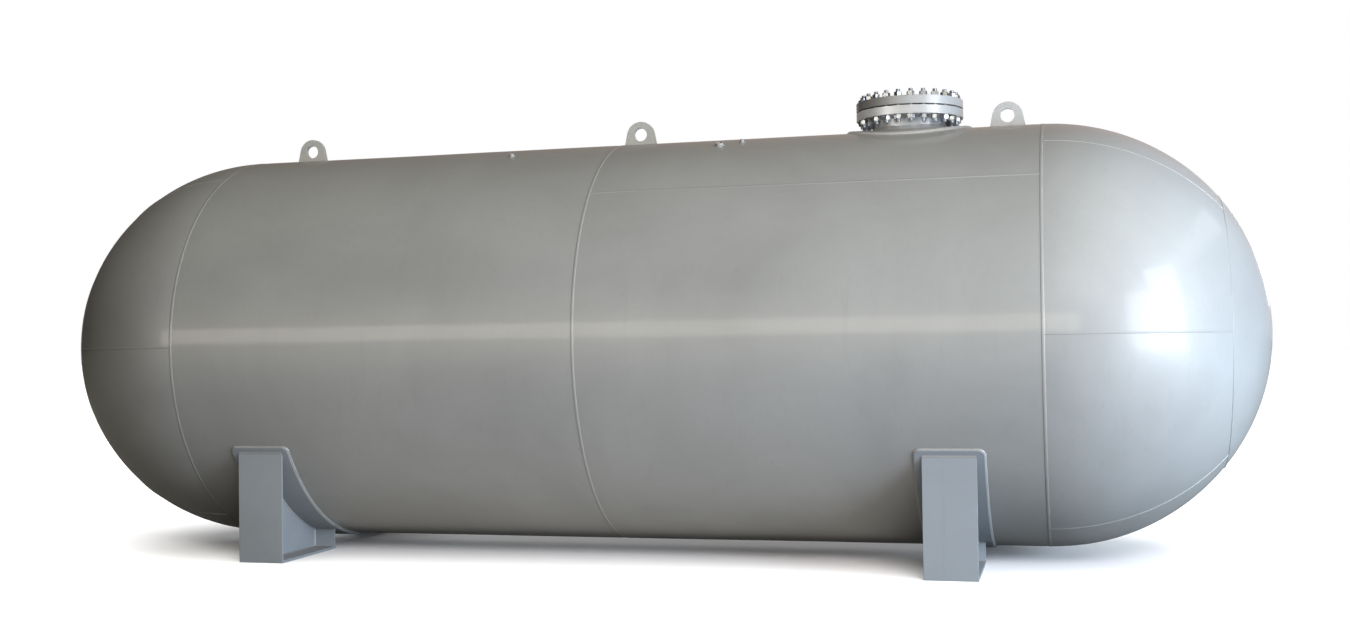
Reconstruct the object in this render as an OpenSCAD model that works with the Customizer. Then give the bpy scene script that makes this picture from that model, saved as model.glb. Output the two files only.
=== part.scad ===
// Horizontal air receiver on two pairs of saddle feet, with a bolted manway.
// X runs along the vessel, Y across it, Z up. The origin is on the floor, under the middle girth weld.

/* [Vessel] */
// Outside diameter of the shell and of both heads
vessel_od = 3000; // [2960:10:3040]
// Length of one cylindrical shell course
course_len = 3080; // [3040:10:3200]
// Plate thickness of the shell courses
shell_t = 25; // [18:1:32]
// Plate thickness of the hemispherical heads
head_t = 20; // [14:1:28]
// Height of the vessel axis above the undersides of the feet
axis_z = 1575; // [1560:5:1640]
// Half-angle of the spherical crown cap, seen from the sphere's centre
crown_angle = 39; // [34:1:44]
// Number of petals in each head
petal_count = 6; // [6:1:6]

/* [Welds] */
// Width of a girth weld's cap
girth_cap_w = 28; // [22:1:34]
// Height of a girth weld's cap above the plate
girth_cap_h = 3.5; // [2:0.5:5]
// Width of a petal or crown weld's cap
head_cap_w = 14; // [12:1:20]
// Height of a petal or crown weld's cap above the plate
head_cap_h = 2; // [1:0.5:3]
// Gap between welded plate edges, filled by the weld
root_gap = 6; // [4:1:8]
// Angle of the right course's long seam from the top, towards -Y
long_seam_angle = 46; // [40:1:55]

/* [Manway] */
// Distance of the manway axis from the middle girth weld
manway_x = 2130; // [2080:10:2150]
// Outside diameter of the neck
neck_od = 508; // [480:2:520]
// Wall thickness of the neck
neck_t = 20; // [14:1:24]
// Outside diameter of the flange and of the blind cover
flange_od = 775; // [770:1:785]
// Thickness of the flange, raised face included
flange_t = 63.5; // [55:0.5:65]
// Height of the flange's sealing face above the vessel axis
seal_z = 1650; // [1645:1:1665]
// Diameter of the raised faces
raised_od = 584; // [580:1:590]
// Height of each raised face
raised_h = 2; // [1:0.5:3]
// Diameter of the stud circle
stud_pcd = 685.8; // [684:0.2:690]
// Number of studs
stud_count = 24; // [24:1:24]
// Diameter of a stud
stud_d = 31.75; // [30:0.25:32]
// Diameter of a stud hole
stud_hole_d = 34.9; // [34:0.1:36]
// Length of a stud past its nut
stud_proud = 21; // [12:1:22]
// Thickness of a heavy hex nut
nut_h = 31; // [28:0.5:32]
// Width of a heavy hex nut across its flats
nut_af = 50.8; // [50:0.2:52]
// Thickness of the gasket's winding
gasket_t = 4.5; // [4:0.5:5]
// Radius of the reinforcing pad
pad_r = 450; // [430:5:480]
// Thickness of the reinforcing pad
pad_t = 16; // [12:1:16]

/* [Lifting lugs] */
// Distances of the three lug holes from the middle girth weld
lug_x = [-2731, 71, 2834];
// Height of the lug holes above the vessel axis
lug_hole_z = 1588; // [1580:1:1600]
// Diameter of a lug hole
lug_hole_d = 100; // [80:2:104]
// Radius of a lug's rounded top
lug_r = 110; // [104:1:114]
// Width of a lug where it meets the shell
lug_base_w = 264; // [258:2:276]
// Height of a lug's top above its hole's centre
lug_top = 100; // [96:1:104]
// Thickness of a lug plate
lug_t = 30; // [25:1:36]

/* [Saddles] */
// Distance of each saddle from the middle girth weld
saddle_x = 2475; // [2450:5:2500]
// Width of a foot along the vessel
foot_w = 350; // [340:5:360]
// Outer face of a foot, from the centreline
foot_y_out = 1300; // [1290:1:1310]
// Inner face of a foot, from the centreline
foot_y_in = 500; // [480:5:520]
// Thickness of the outer end plate
end_plate_t = 16; // [12:1:20]
// Thickness of the web and of the inner rib
web_t = 12; // [10:1:16]
// Thickness of the foot's base plate
base_t = 20; // [16:1:25]
// Width of the wear plate along the vessel
wear_w = 450; // [430:5:470]
// Thickness of the wear plate
wear_t = 15; // [12:1:16]
// Angle of the wear plate's ends from straight down
wear_angle = 60.7; // [60:0.1:62]
// Radius of the wear plate's corners
wear_corner_r = 40; // [30:5:50]
// Diameter of an anchor hole
anchor_d = 36; // [30:1:39]
// Extra length of the slots in the sliding saddle
slot_extra = 30; // [20:2:40]
// Spacing of the anchor holes along the vessel
anchor_dx = 220; // [200:5:230]
// Spacing of the anchor holes across the vessel
anchor_dy = 1800; // [1760:10:1840]

/* [Couplings] */
// Gauge coupling: place along the vessel, angle from the top towards -Y, outside diameter, bore
gauge_c = [-780, 21.5, 36, 24.1];
// Relief valve coupling: the same four values
relief_c = [817, 21, 58, 45];
// Sensor coupling: the same four values
sensor_c = [969, 18, 29, 18.6];
// Height of a top coupling above the shell
coupling_proud = 24; // [18:1:30]
// Place of the drain along the vessel
drain_x = -2850; // [-2880:5:-2820]
// Outside diameter of the drain coupling
drain_od = 44; // [40:1:50]
// Radius of the drain's thread
drain_r = 15; // [14:0.5:17]
// Height of the drain coupling below the shell
drain_proud = 26; // [20:1:28]

/* [Hidden] */
$fn = 96;
R = vessel_od / 2;
Ri = R - shell_t;
Hi = R - head_t;
g = root_gap / 2;
tan_x = course_len;
seam_lat = 90 - crown_angle;
face_lo = seal_z;
face_hi = seal_z + gasket_t;
flange_lo = seal_z - flange_t;
cover_hi = face_hi + flange_t;
nut_clear = 0.05;
Rw = R + wear_t;
petal_step = 360 / petal_count;
steel = [0.56, 0.57, 0.56];
steel_dark = [0.47, 0.47, 0.46];
weld_c = [0.66, 0.67, 0.67];
zinc = [0.83, 0.84, 0.85];
rubber_c = [0.16, 0.16, 0.17];

// A solid turned about the vessel axis from a profile in (radius, x), over angles from a0 by da.
// Angle 0 points to -Y and angle 90 points up.
module about_axis(a0 = 0, da = 360)
    translate([0, 0, axis_z]) rotate([0, 90, 0]) rotate([0, 0, -90 - a0 - (da < 360 ? da : 0)])
        rotate_extrude(angle = da, $fn = 180) children();

// A cylinder along the vessel axis.
module along_x(r, x0, x1, steps = 180)
    translate([x0, 0, axis_z]) rotate([0, 90, 0]) cylinder(r = r, h = x1 - x0, $fn = steps);

// Puts a vertical fitting on the shell, at an angle from the top towards -Y.
module on_shell(x, a)
    translate([x, 0, axis_z]) rotate([a, 0, 0]) children();

// ---------- shell ----------
module course(x0, x1)
    difference() {
        along_x(R, x0, x1);
        along_x(Ri, x0 - 1, x1 + 1);
    }

module seam_slot(x0, x1, a)
    on_shell((x0 + x1) / 2, a) translate([-(x1 - x0) / 2 - 1, -g, Ri - 20]) cube([x1 - x0 + 2, 2 * g, shell_t + 60]);

module shell_course_left() color(steel)
    difference() {
        course(-tan_x + g, -g);
        seam_slot(-tan_x + g, -g, -long_seam_angle);
        on_shell(gauge_c[0], gauge_c[1]) translate([0, 0, Ri - 40]) cylinder(d = gauge_c[2], h = 120);
        on_shell(drain_x, 180) translate([0, 0, Ri - 40]) cylinder(d = drain_od, h = 120);
    }

module shell_course_right() color(steel)
    difference() {
        course(g, tan_x - g);
        seam_slot(g, tan_x - g, long_seam_angle);
        on_shell(relief_c[0], relief_c[1]) translate([0, 0, Ri - 40]) cylinder(d = relief_c[2], h = 120);
        on_shell(sensor_c[0], sensor_c[1]) translate([0, 0, Ri - 40]) cylinder(d = sensor_c[2], h = 120);
        translate([manway_x, 0, axis_z + Ri - 80]) cylinder(d = neck_od, h = 160);
    }

module girth_weld(x, ti)
    about_axis()
        polygon([[R - ti, x - g], [R - ti, x + g], [R, x + g], [R, x + girth_cap_w / 2],
            [R + girth_cap_h * 0.7, x + girth_cap_w * 0.3], [R + girth_cap_h, x],
            [R + girth_cap_h * 0.7, x - girth_cap_w * 0.3], [R, x - girth_cap_w / 2], [R, x - g]]);

module girth_welds() color(weld_c) {
    girth_weld(-tan_x, head_t);
    girth_weld(0, shell_t);
    girth_weld(tan_x, head_t);
}

module long_weld(x0, x1, a)
    on_shell(0, a) translate([x0, 0, 0]) rotate([90, 0, 90])
        linear_extrude(height = x1 - x0)
            polygon([[-g, sqrt(Ri * Ri - g * g) + 0.01], [g, sqrt(Ri * Ri - g * g) + 0.01], [g, R], [head_cap_w / 2 + 2, R], [5, R + 2.5],
                [-5, R + 2.5], [-head_cap_w / 2 - 2, R], [-g, R]]);

module long_seam_welds() color(weld_c) {
    long_weld(-tan_x + girth_cap_w / 2, -girth_cap_w / 2, -long_seam_angle);
    long_weld(girth_cap_w / 2, tan_x - girth_cap_w / 2, long_seam_angle);
}

// ---------- heads ----------
// Point on the head's section at radius r and angle t from the vessel axis.
function hp(r, t) = [r * sin(t), r * cos(t)];
seam_da = asin(g / R);
fill_da = asin((g - 0.01) / R);

// Section of the head plate from angle t0 to t1 off the axis, past the tangent plane by g.
module head_section(t0, t1)
    intersection() {
        difference() {
            circle(r = R, $fn = 360);
            circle(r = Hi, $fn = 360);
        }
        polygon([[0, 0], hp(2 * R, t0), hp(2.4 * R, (t0 + t1) / 2), hp(2 * R, t1)]);
        translate([0, g]) square([2 * R, 2 * R]);
    }

// A petal between two meridians: petal k starts k - 1 steps above -Y.
module petal_body(k)
    difference() {
        translate([tan_x, 0, 0]) about_axis(petal_step * (k - 1), petal_step)
            head_section(crown_angle + seam_da, 90);
        for (m = [k - 1, k])
            translate([tan_x - 10, 0, axis_z]) rotate([-m * petal_step, 0, 0])
                translate([0, -2 * R, -g]) cube([R + 100, 2 * R, 2 * g]);
    }

module head_side(side)
    if (side > 0) children(); else mirror([1, 0, 0]) children();

module head_petal(side, k) color(steel) head_side(side) petal_body(k);

module head_crown(side) color(steel) head_side(side)
    translate([tan_x, 0, 0]) about_axis()
        intersection() {
            difference() {
                circle(r = R, $fn = 360);
                circle(r = Hi, $fn = 360);
            }
            polygon([[0, 0], [0, 2 * R], hp(2.4 * R, (crown_angle - seam_da) / 2), hp(2 * R, crown_angle - seam_da)]);
        }

// The weld along one meridian, at angle m above -Y.
module meridian_weld(m)
    translate([tan_x, 0, axis_z]) rotate([-m, 0, 0]) rotate([0, 0, -90])
        rotate_extrude(angle = 90 - crown_angle - asin(head_cap_w / 2 / R), $fn = 180)
            polygon([[Hi + 0.02, -g], [Hi + 0.02, g], [R, g], [R, head_cap_w / 2], [R + head_cap_h, 3],
                [R + head_cap_h, -3], [R, -head_cap_w / 2], [R, -g]]);

module head_welds(side) color(weld_c) head_side(side) {
    difference() {
        for (k = [0:petal_count - 1]) meridian_weld(k * petal_step);
        along_x(R + 50, tan_x - 50, tan_x + girth_cap_w / 2);
    }
    translate([tan_x, 0, 0]) about_axis()
        polygon([hp(Hi, crown_angle - fill_da), hp(R, crown_angle - fill_da),
            hp(R + 0.02, crown_angle - asin(head_cap_w / 2 / R)), hp(R + head_cap_h, crown_angle - asin(3 / R)),
            hp(R + head_cap_h, crown_angle + asin(3 / R)), hp(R + 0.02, crown_angle + asin(head_cap_w / 2 / R)),
            hp(R, crown_angle + fill_da), hp(Hi, crown_angle + fill_da)]);
}

// ---------- manway ----------
module at_manway() translate([manway_x, 0, axis_z]) children();
module stud_ring()
    at_manway() for (i = [0:stud_count - 1]) rotate([0, 0, (i + 0.5) * 360 / stud_count]) translate([stud_pcd / 2, 0, 0]) children();

module ring_solid(ro, ri, z0, z1)
    difference() {
        translate([0, 0, z0]) cylinder(r = ro, h = z1 - z0, $fn = 180);
        translate([0, 0, z0 - 1]) cylinder(r = ri, h = z1 - z0 + 2, $fn = 180);
    }

module manway_pad() color(steel)
    difference() {
        intersection() {
            at_manway() ring_solid(pad_r, neck_od / 2, R - 120, R + pad_t + 5);
            along_x(R + pad_t, manway_x - pad_r - 5, manway_x + pad_r + 5);
        }
        along_x(R, manway_x - pad_r - 10, manway_x + pad_r + 10);
    }

module manway_neck() color(steel)
    at_manway() ring_solid(neck_od / 2, neck_od / 2 - neck_t, Ri - 60, seal_z - flange_t * 0.7);

module manway_flange() color(steel)
    difference() {
        at_manway() union() {
            ring_solid(flange_od / 2, neck_od / 2, flange_lo, seal_z - flange_t * 0.7);
            ring_solid(flange_od / 2, neck_od / 2 - neck_t, seal_z - flange_t * 0.7, seal_z - raised_h);
            ring_solid(raised_od / 2, neck_od / 2 - neck_t, seal_z - raised_h - 1, seal_z);
        }
        stud_ring() translate([0, 0, flange_lo - 2]) cylinder(d = stud_hole_d, h = flange_t + 10);
    }

// A weld bead in two steps: leg along the plate, then leg up the wall.
module manway_fillet(ra, rb, base_r, z_leg)
    difference() {
        intersection() {
            at_manway() ring_solid(rb, ra, R - 160, R + 80);
            along_x(base_r + z_leg, manway_x - rb - 5, manway_x + rb + 5);
        }
        along_x(base_r, manway_x - rb - 10, manway_x + rb + 10);
    }

module manway_welds() color(weld_c) {
    manway_fillet(neck_od / 2, neck_od / 2 + 11, R + pad_t, 24);
    manway_fillet(neck_od / 2 + 11, neck_od / 2 + 24, R + pad_t, 11);
    manway_fillet(pad_r, pad_r + 12, R, 11);
    at_manway() translate([0, 0, flange_lo]) rotate_extrude($fn = 180)
        polygon([[neck_od / 2, 0], [neck_od / 2 + 12, 0], [neck_od / 2, -12]]);
}

module manway_gasket() color(rubber_c) at_manway() {
    difference() {
        union() {
            ring_solid(raised_od / 2, neck_od / 2 + 4, face_lo, face_hi);
            ring_solid((stud_pcd - stud_d) / 2 - 1, raised_od / 2 - 0.5, face_lo + 0.7, face_hi - 0.7);
        }
    }
}

module manway_cover() color(steel)
    difference() {
        at_manway() union() {
            translate([0, 0, face_hi]) cylinder(d = raised_od, h = raised_h + 1, $fn = 180);
            translate([0, 0, face_hi + raised_h]) cylinder(d = flange_od, h = flange_t - raised_h, $fn = 180);
        }
        stud_ring() translate([0, 0, face_hi - 2]) cylinder(d = stud_hole_d, h = flange_t + 10);
    }

module manway_studs() color(zinc)
    stud_ring() translate([0, 0, flange_lo - nut_h - stud_proud])
        cylinder(d = stud_d, h = cover_hi - flange_lo + 2 * (nut_h + stud_proud));

module hex_nut(z, bore)
    translate([0, 0, z]) difference() {
        intersection() {
            cylinder(d = nut_af / cos(30), h = nut_h, $fn = 6);
            translate([0, 0, -3]) cylinder(r1 = nut_af / 2 + 10, r2 = nut_af / 2 - 2, h = nut_h + 6, $fn = 48);
        }
        translate([0, 0, -1]) cylinder(d = bore, h = nut_h + 2);
    }

module manway_upper_nuts() color(zinc) stud_ring() hex_nut(cover_hi + 0.01, stud_d + 2 * nut_clear);

module manway_lower_nuts() color(zinc)
    stud_ring() translate([0, 0, flange_lo]) mirror([0, 0, 1]) hex_nut(0, stud_d);

// ---------- lifting lugs ----------
// Outline of a lug in (x, height above the axis), with sides tangent to the round top.
module lug_outline() {
    b = lug_base_w / 2;
    zc = lug_hole_z + lug_top - lug_r;
    h = zc - R + 20;
    d = sqrt(b * b + h * h);
    a = acos(lug_r / d) + atan2(-h, b);
    difference() {
        union() {
            translate([0, zc]) circle(r = lug_r);
            polygon([[-b, R - 20], [b, R - 20], [lug_r * cos(a), zc + lug_r * sin(a)],
                [-lug_r * cos(a), zc + lug_r * sin(a)]]);
        }
        translate([0, lug_hole_z]) circle(d = lug_hole_d);
    }
}

module lifting_lug(i) color(steel)
    difference() {
        translate([lug_x[i], lug_t / 2, axis_z]) rotate([90, 0, 0]) linear_extrude(height = lug_t) lug_outline();
        along_x(R, lug_x[i] - lug_base_w, lug_x[i] + lug_base_w);
        if (i == 1) girth_clear();
    }

// Room over the middle girth weld, where the middle lug stands across it.
module girth_clear()
    about_axis() polygon([[R - 2, -girth_cap_w / 2], [R - 2, girth_cap_w / 2], [R, girth_cap_w / 2],
        [R + girth_cap_h * 0.7, girth_cap_w * 0.3], [R + girth_cap_h, 0], [R + girth_cap_h * 0.7, -girth_cap_w * 0.3],
        [R, -girth_cap_w / 2]]);

// Drop of the shell's surface below its top line, at a distance y across.
function drop(y) = R - sqrt(R * R - y * y);

module lug_weld(i)
    difference() {
        for (s = [-1, 1])
            translate([lug_x[i] - lug_base_w / 2, s * lug_t / 2, axis_z + R])
                rotate([90, 0, 90]) linear_extrude(height = lug_base_w)
                    polygon([[0, -drop(lug_t / 2)], [s * 14, -drop(lug_t / 2 + 14)], [s * 14, 1], [0, 15]]);
        if (i == 1) girth_clear();
    }

module lug_welds() color(weld_c) for (i = [0:2]) lug_weld(i);

// ---------- couplings ----------
module half_coupling(c) color(steel)
    on_shell(c[0], c[1]) difference() {
        translate([0, 0, Ri - 4]) cylinder(d = c[2], h = shell_t + 4 + coupling_proud);
        translate([0, 0, Ri - 5]) cylinder(d = c[3], h = shell_t + 7 + coupling_proud);
    }

module drain_coupling() color(steel)
    on_shell(drain_x, 180) difference() {
        translate([0, 0, Ri - 4]) cylinder(d = drain_od, h = shell_t + 4 + drain_proud);
        translate([0, 0, Ri - 5]) cylinder(r = drain_r, h = shell_t + 7 + drain_proud);
    }

module drain_plug() color(zinc)
    on_shell(drain_x, 180) {
        translate([0, 0, R + drain_proud - 26]) cylinder(r = drain_r - 0.05, h = 26.5);
        translate([0, 0, R + drain_proud + 0.4]) cylinder(d = 27 / cos(30), h = 13, $fn = 6);
    }

// ---------- saddles ----------
// The wear plate's corners are rounded a little past tangent, so that the arcs meet the edges cleanly.
module wear_corner(e, s)
    rotate([s * (wear_angle - asin(wear_corner_r / Rw)), 0, 0])
        difference() {
            translate([e > 0 ? wear_w / 2 - wear_corner_r : -wear_w / 2 - 20, s > 0 ? 0 : -wear_corner_r - 20, -Rw - 20])
                cube([wear_corner_r + 20, wear_corner_r + 20, wear_t + 40]);
            translate([e * (wear_w / 2 - wear_corner_r), 0, -Rw - 30]) cylinder(r = wear_corner_r + 1.2, h = wear_t + 60);
        }

module saddle_wear_plate(side) color(steel)
    difference() {
        along_x(Rw, side * saddle_x - wear_w / 2, side * saddle_x + wear_w / 2);
        along_x(R, side * saddle_x - wear_w, side * saddle_x + wear_w);
        for (s = [-1, 1])
            translate([side * saddle_x - wear_w, 0, axis_z]) rotate([s * wear_angle, 0, 0])
                translate([0, s > 0 ? 0 : -2 * R, -2 * R]) cube([2 * wear_w, 2 * R, 4 * R]);
        for (e = [-1, 1], s = [-1, 1]) translate([side * saddle_x, 0, axis_z]) wear_corner(e, s);
    }

// Removes everything that lies inside the wear plate's outer face.
module under_wear(side)
    difference() {
        children();
        along_x(Rw, side * saddle_x - wear_w, side * saddle_x + wear_w);
    }

module foot_end_plate(side, fb) color(steel)
    under_wear(side)
        translate([side * saddle_x - foot_w / 2, fb > 0 ? foot_y_out - end_plate_t : -foot_y_out, 0])
            cube([foot_w, end_plate_t, axis_z - sqrt(Rw * Rw - pow(foot_y_out, 2))]);

module foot_web(side, fb) color(steel)
    under_wear(side)
        translate([side * saddle_x - web_t / 2, fb > 0 ? foot_y_in + web_t : -foot_y_out + end_plate_t, base_t])
            cube([web_t, foot_y_out - foot_y_in - end_plate_t - web_t, axis_z - base_t - 600]);

module foot_rib(side, fb) color(steel)
    under_wear(side)
        translate([side * saddle_x - foot_w / 2, fb > 0 ? foot_y_in : -foot_y_in - web_t, base_t])
            cube([foot_w, web_t, 300]);

module foot_base_plate(side, fb) color(steel)
    difference() {
        translate([side * saddle_x - foot_w / 2, fb > 0 ? foot_y_in : -foot_y_out + end_plate_t, 0])
            cube([foot_w, foot_y_out - foot_y_in - end_plate_t, base_t]);
        for (e = [-1, 1])
            translate([side * saddle_x + e * anchor_dx / 2, fb * anchor_dy / 2, -1])
                if (side < 0) cylinder(d = anchor_d, h = base_t + 2);
                else {
                    for (s = [-1, 1]) translate([s * slot_extra / 2, 0, 0]) cylinder(d = anchor_d, h = base_t + 2);
                    translate([-slot_extra / 2, -anchor_d / 2, 0]) cube([slot_extra, anchor_d, base_t + 2]);
                }
    }

shell_course_left();
shell_course_right();
girth_welds();
long_seam_welds();
head_petal(-1, 1);  // left_head_petal_1
head_petal(-1, 2);  // left_head_petal_2
head_petal(-1, 3);  // left_head_petal_3
head_petal(-1, 4);  // left_head_petal_4
head_petal(-1, 5);  // left_head_petal_5
head_petal(-1, 6);  // left_head_petal_6
head_crown(-1);  // left_head_crown
head_welds(-1);  // left_head_welds
head_petal(1, 1);  // right_head_petal_1
head_petal(1, 2);  // right_head_petal_2
head_petal(1, 3);  // right_head_petal_3
head_petal(1, 4);  // right_head_petal_4
head_petal(1, 5);  // right_head_petal_5
head_petal(1, 6);  // right_head_petal_6
head_crown(1);  // right_head_crown
head_welds(1);  // right_head_welds
manway_pad();
manway_neck();
manway_flange();
manway_welds();
manway_gasket();
manway_cover();
manway_studs();
manway_upper_nuts();
manway_lower_nuts();
lifting_lug(0);  // lifting_lug_left
lifting_lug(1);  // lifting_lug_middle
lifting_lug(2);  // lifting_lug_right
lug_welds();
half_coupling(gauge_c);  // gauge_coupling
half_coupling(relief_c);  // relief_coupling
half_coupling(sensor_c);  // sensor_coupling
drain_coupling();
drain_plug();
saddle_wear_plate(-1);  // left_saddle_wear_plate
saddle_wear_plate(1);  // right_saddle_wear_plate
foot_base_plate(-1, -1);  // left_near_base_plate
foot_end_plate(-1, -1);  // left_near_end_plate
foot_web(-1, -1);  // left_near_web
foot_rib(-1, -1);  // left_near_rib
foot_base_plate(-1, 1);  // left_far_base_plate
foot_end_plate(-1, 1);  // left_far_end_plate
foot_web(-1, 1);  // left_far_web
foot_rib(-1, 1);  // left_far_rib
foot_base_plate(1, -1);  // right_near_base_plate
foot_end_plate(1, -1);  // right_near_end_plate
foot_web(1, -1);  // right_near_web
foot_rib(1, -1);  // right_near_rib
foot_base_plate(1, 1);  // right_far_base_plate
foot_end_plate(1, 1);  // right_far_end_plate
foot_web(1, 1);  // right_far_web
foot_rib(1, 1);  // right_far_rib
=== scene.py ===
# Air receiver tank: the looks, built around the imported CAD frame.
import math
import bpy
import bmesh
import numpy as np
from mathutils import Matrix, Vector


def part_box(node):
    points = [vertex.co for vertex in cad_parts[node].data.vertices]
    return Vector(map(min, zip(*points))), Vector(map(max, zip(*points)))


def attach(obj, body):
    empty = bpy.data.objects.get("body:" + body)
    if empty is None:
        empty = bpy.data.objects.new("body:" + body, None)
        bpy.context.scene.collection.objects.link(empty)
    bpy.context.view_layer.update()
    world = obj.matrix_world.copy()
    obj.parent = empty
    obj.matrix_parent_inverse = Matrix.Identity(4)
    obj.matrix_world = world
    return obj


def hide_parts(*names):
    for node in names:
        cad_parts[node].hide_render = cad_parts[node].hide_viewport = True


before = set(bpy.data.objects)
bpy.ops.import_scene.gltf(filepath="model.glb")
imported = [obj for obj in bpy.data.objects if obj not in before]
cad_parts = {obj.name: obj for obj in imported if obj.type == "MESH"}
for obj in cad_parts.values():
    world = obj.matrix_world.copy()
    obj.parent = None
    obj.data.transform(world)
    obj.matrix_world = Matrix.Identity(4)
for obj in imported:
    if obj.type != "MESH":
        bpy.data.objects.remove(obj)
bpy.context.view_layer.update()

# ------------------------------------------------------------------ dimensions (metres, as in the CAD)
R = 1.5
SHELL_T = 0.025
HEAD_T = 0.020
AZ = 1.575
TX = 3.08
CROWN = math.radians(39)
G = 0.003
MX = 2.13
NECK = 0.254
NECK_T = 0.020
FL_R = 0.3875
FL_T = 0.0635
SEAL = AZ + 1.650
GASK = 0.0045
RF_R = 0.292
RF_H = 0.002
PCD = 0.3429
N_STUD = 24
STUD_R = 0.015875
HOLE_R = 0.01745
NUT_H = 0.031
NUT_AF = 0.0508
PROUD = 0.021
PAD_R = 0.45
PAD_T = 0.016
LUG_X = (-2.731, 0.071, 2.834)
LUG_Z = AZ + 1.588
LUG_HOLE = 0.05
LUG_R = 0.110
LUG_TOP = 0.100
LUG_B = 0.132
LUG_T = 0.030
SX = 2.475
FOOT_W = 0.35
Y_OUT = 1.3
Y_IN = 0.5
END_T = 0.016
WEB_T = 0.012
BASE_T = 0.020
WEAR_W = 0.45
WEAR_T = 0.015
WEAR_A = math.radians(60.7)
WEAR_C = 0.040
RW = R + WEAR_T
SEAM_A = math.radians(46)


def check_box(node, axis, side, value, tol=0.004):
    """Stops if a CAD node isn't where this script builds its looks."""
    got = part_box(node)[side][axis]
    if abs(got - value) > tol:
        raise RuntimeError(f"{node}: CAD says {got:.4f}, the scene builds at {value:.4f}")


check_box("shell_course_right", 0, 1, TX - G)
check_box("shell_course_right", 2, 1, AZ + R)
check_box("manway_cover", 2, 0, SEAL + GASK)
check_box("manway_cover", 0, 1, MX + FL_R)
check_box("left_near_end_plate", 1, 0, -Y_OUT)
check_box("right_saddle_wear_plate", 0, 1, SX + WEAR_W / 2)
check_box("lifting_lug_right", 2, 1, LUG_Z + LUG_TOP)

# ------------------------------------------------------------------ mesh helpers


def quads(nu, nv, wrap_u=False, wrap_v=False, flip=False, base=0):
    a, b = np.meshgrid(np.arange(nu if wrap_u else nu - 1), np.arange(nv if wrap_v else nv - 1), indexing="ij")
    a2, b2 = (a + 1) % nu, (b + 1) % nv
    f = np.stack([a * nv + b, a2 * nv + b, a2 * nv + b2, a * nv + b2], -1).reshape(-1, 4) + base
    return f[:, ::-1] if flip else f


def outward(me):
    """Turns the faces of a closed mesh to point outward."""
    bm = bmesh.new()
    bm.from_mesh(me)
    bmesh.ops.recalc_face_normals(bm, faces=bm.faces[:])
    vol = bm.calc_volume(signed=True)
    if vol < 0:
        bmesh.ops.reverse_faces(bm, faces=bm.faces[:])
    bm.to_mesh(me)
    bm.free()


def finish_mesh(me, angle):
    me.polygons.foreach_set("use_smooth", np.ones(len(me.polygons), bool))
    me.set_sharp_from_angle(angle=math.radians(angle))
    me.update()


def make(name, V, F, mat, body="root", reps=(), angle=32):
    """A closed mesh piece from vertices and a list of face arrays."""
    V = np.asarray(V, float).reshape(-1, 3)
    if isinstance(F, np.ndarray):
        F = [F]
    me = bpy.data.meshes.new(name)
    me.vertices.add(len(V))
    me.vertices.foreach_set("co", V.ravel())
    loops = np.concatenate([np.asarray(f).ravel() for f in F]).astype(np.int32)
    sizes = np.concatenate([np.full(len(f), np.asarray(f).shape[1]) for f in F])
    starts = np.concatenate([[0], np.cumsum(sizes)[:-1]]).astype(np.int32)
    me.loops.add(len(loops))
    me.loops.foreach_set("vertex_index", loops)
    me.polygons.add(len(sizes))
    me.polygons.foreach_set("loop_start", starts)
    me.update(calc_edges=True)
    me.validate()
    outward(me)
    finish_mesh(me, angle)
    o = bpy.data.objects.new(name, me)
    bpy.context.scene.collection.objects.link(o)
    me.materials.append(mat)
    return place(o, body, reps)


def place(o, body, reps):
    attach(o, body)
    if reps:
        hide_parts(*reps)
    return o


def join_geo(parts):
    """Several (V, [F...]) as one."""
    vs, fs, n = [], [], 0
    for V, F in parts:
        V = np.asarray(V, float).reshape(-1, 3)
        vs.append(V)
        for f in (F if isinstance(F, list) else [F]):
            fs.append(np.asarray(f) + n)
        n += len(V)
    return np.concatenate(vs), fs


def slab(outer, inner, wrap_u=False, wrap_v=False):
    """A closed solid between two grids (nu, nv, 3)."""
    nu, nv = outer.shape[:2]
    V = np.concatenate([outer.reshape(-1, 3), inner.reshape(-1, 3)])
    n = nu * nv
    F = [quads(nu, nv, wrap_u, wrap_v), quads(nu, nv, wrap_u, wrap_v, flip=True, base=n)]

    def strip(idx, closed):
        a = idx[:-1] if not closed else idx
        b = idx[1:] if not closed else np.roll(idx, -1)
        return np.stack([a, b, b + n, a + n], -1)

    g = np.arange(n).reshape(nu, nv)
    if not wrap_u:
        F.append(strip(g[0, :], wrap_v))
        F.append(strip(g[-1, :], wrap_v))
    if not wrap_v:
        F.append(strip(g[:, 0], wrap_u))
        F.append(strip(g[:, -1], wrap_u))
    return V, F


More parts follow.
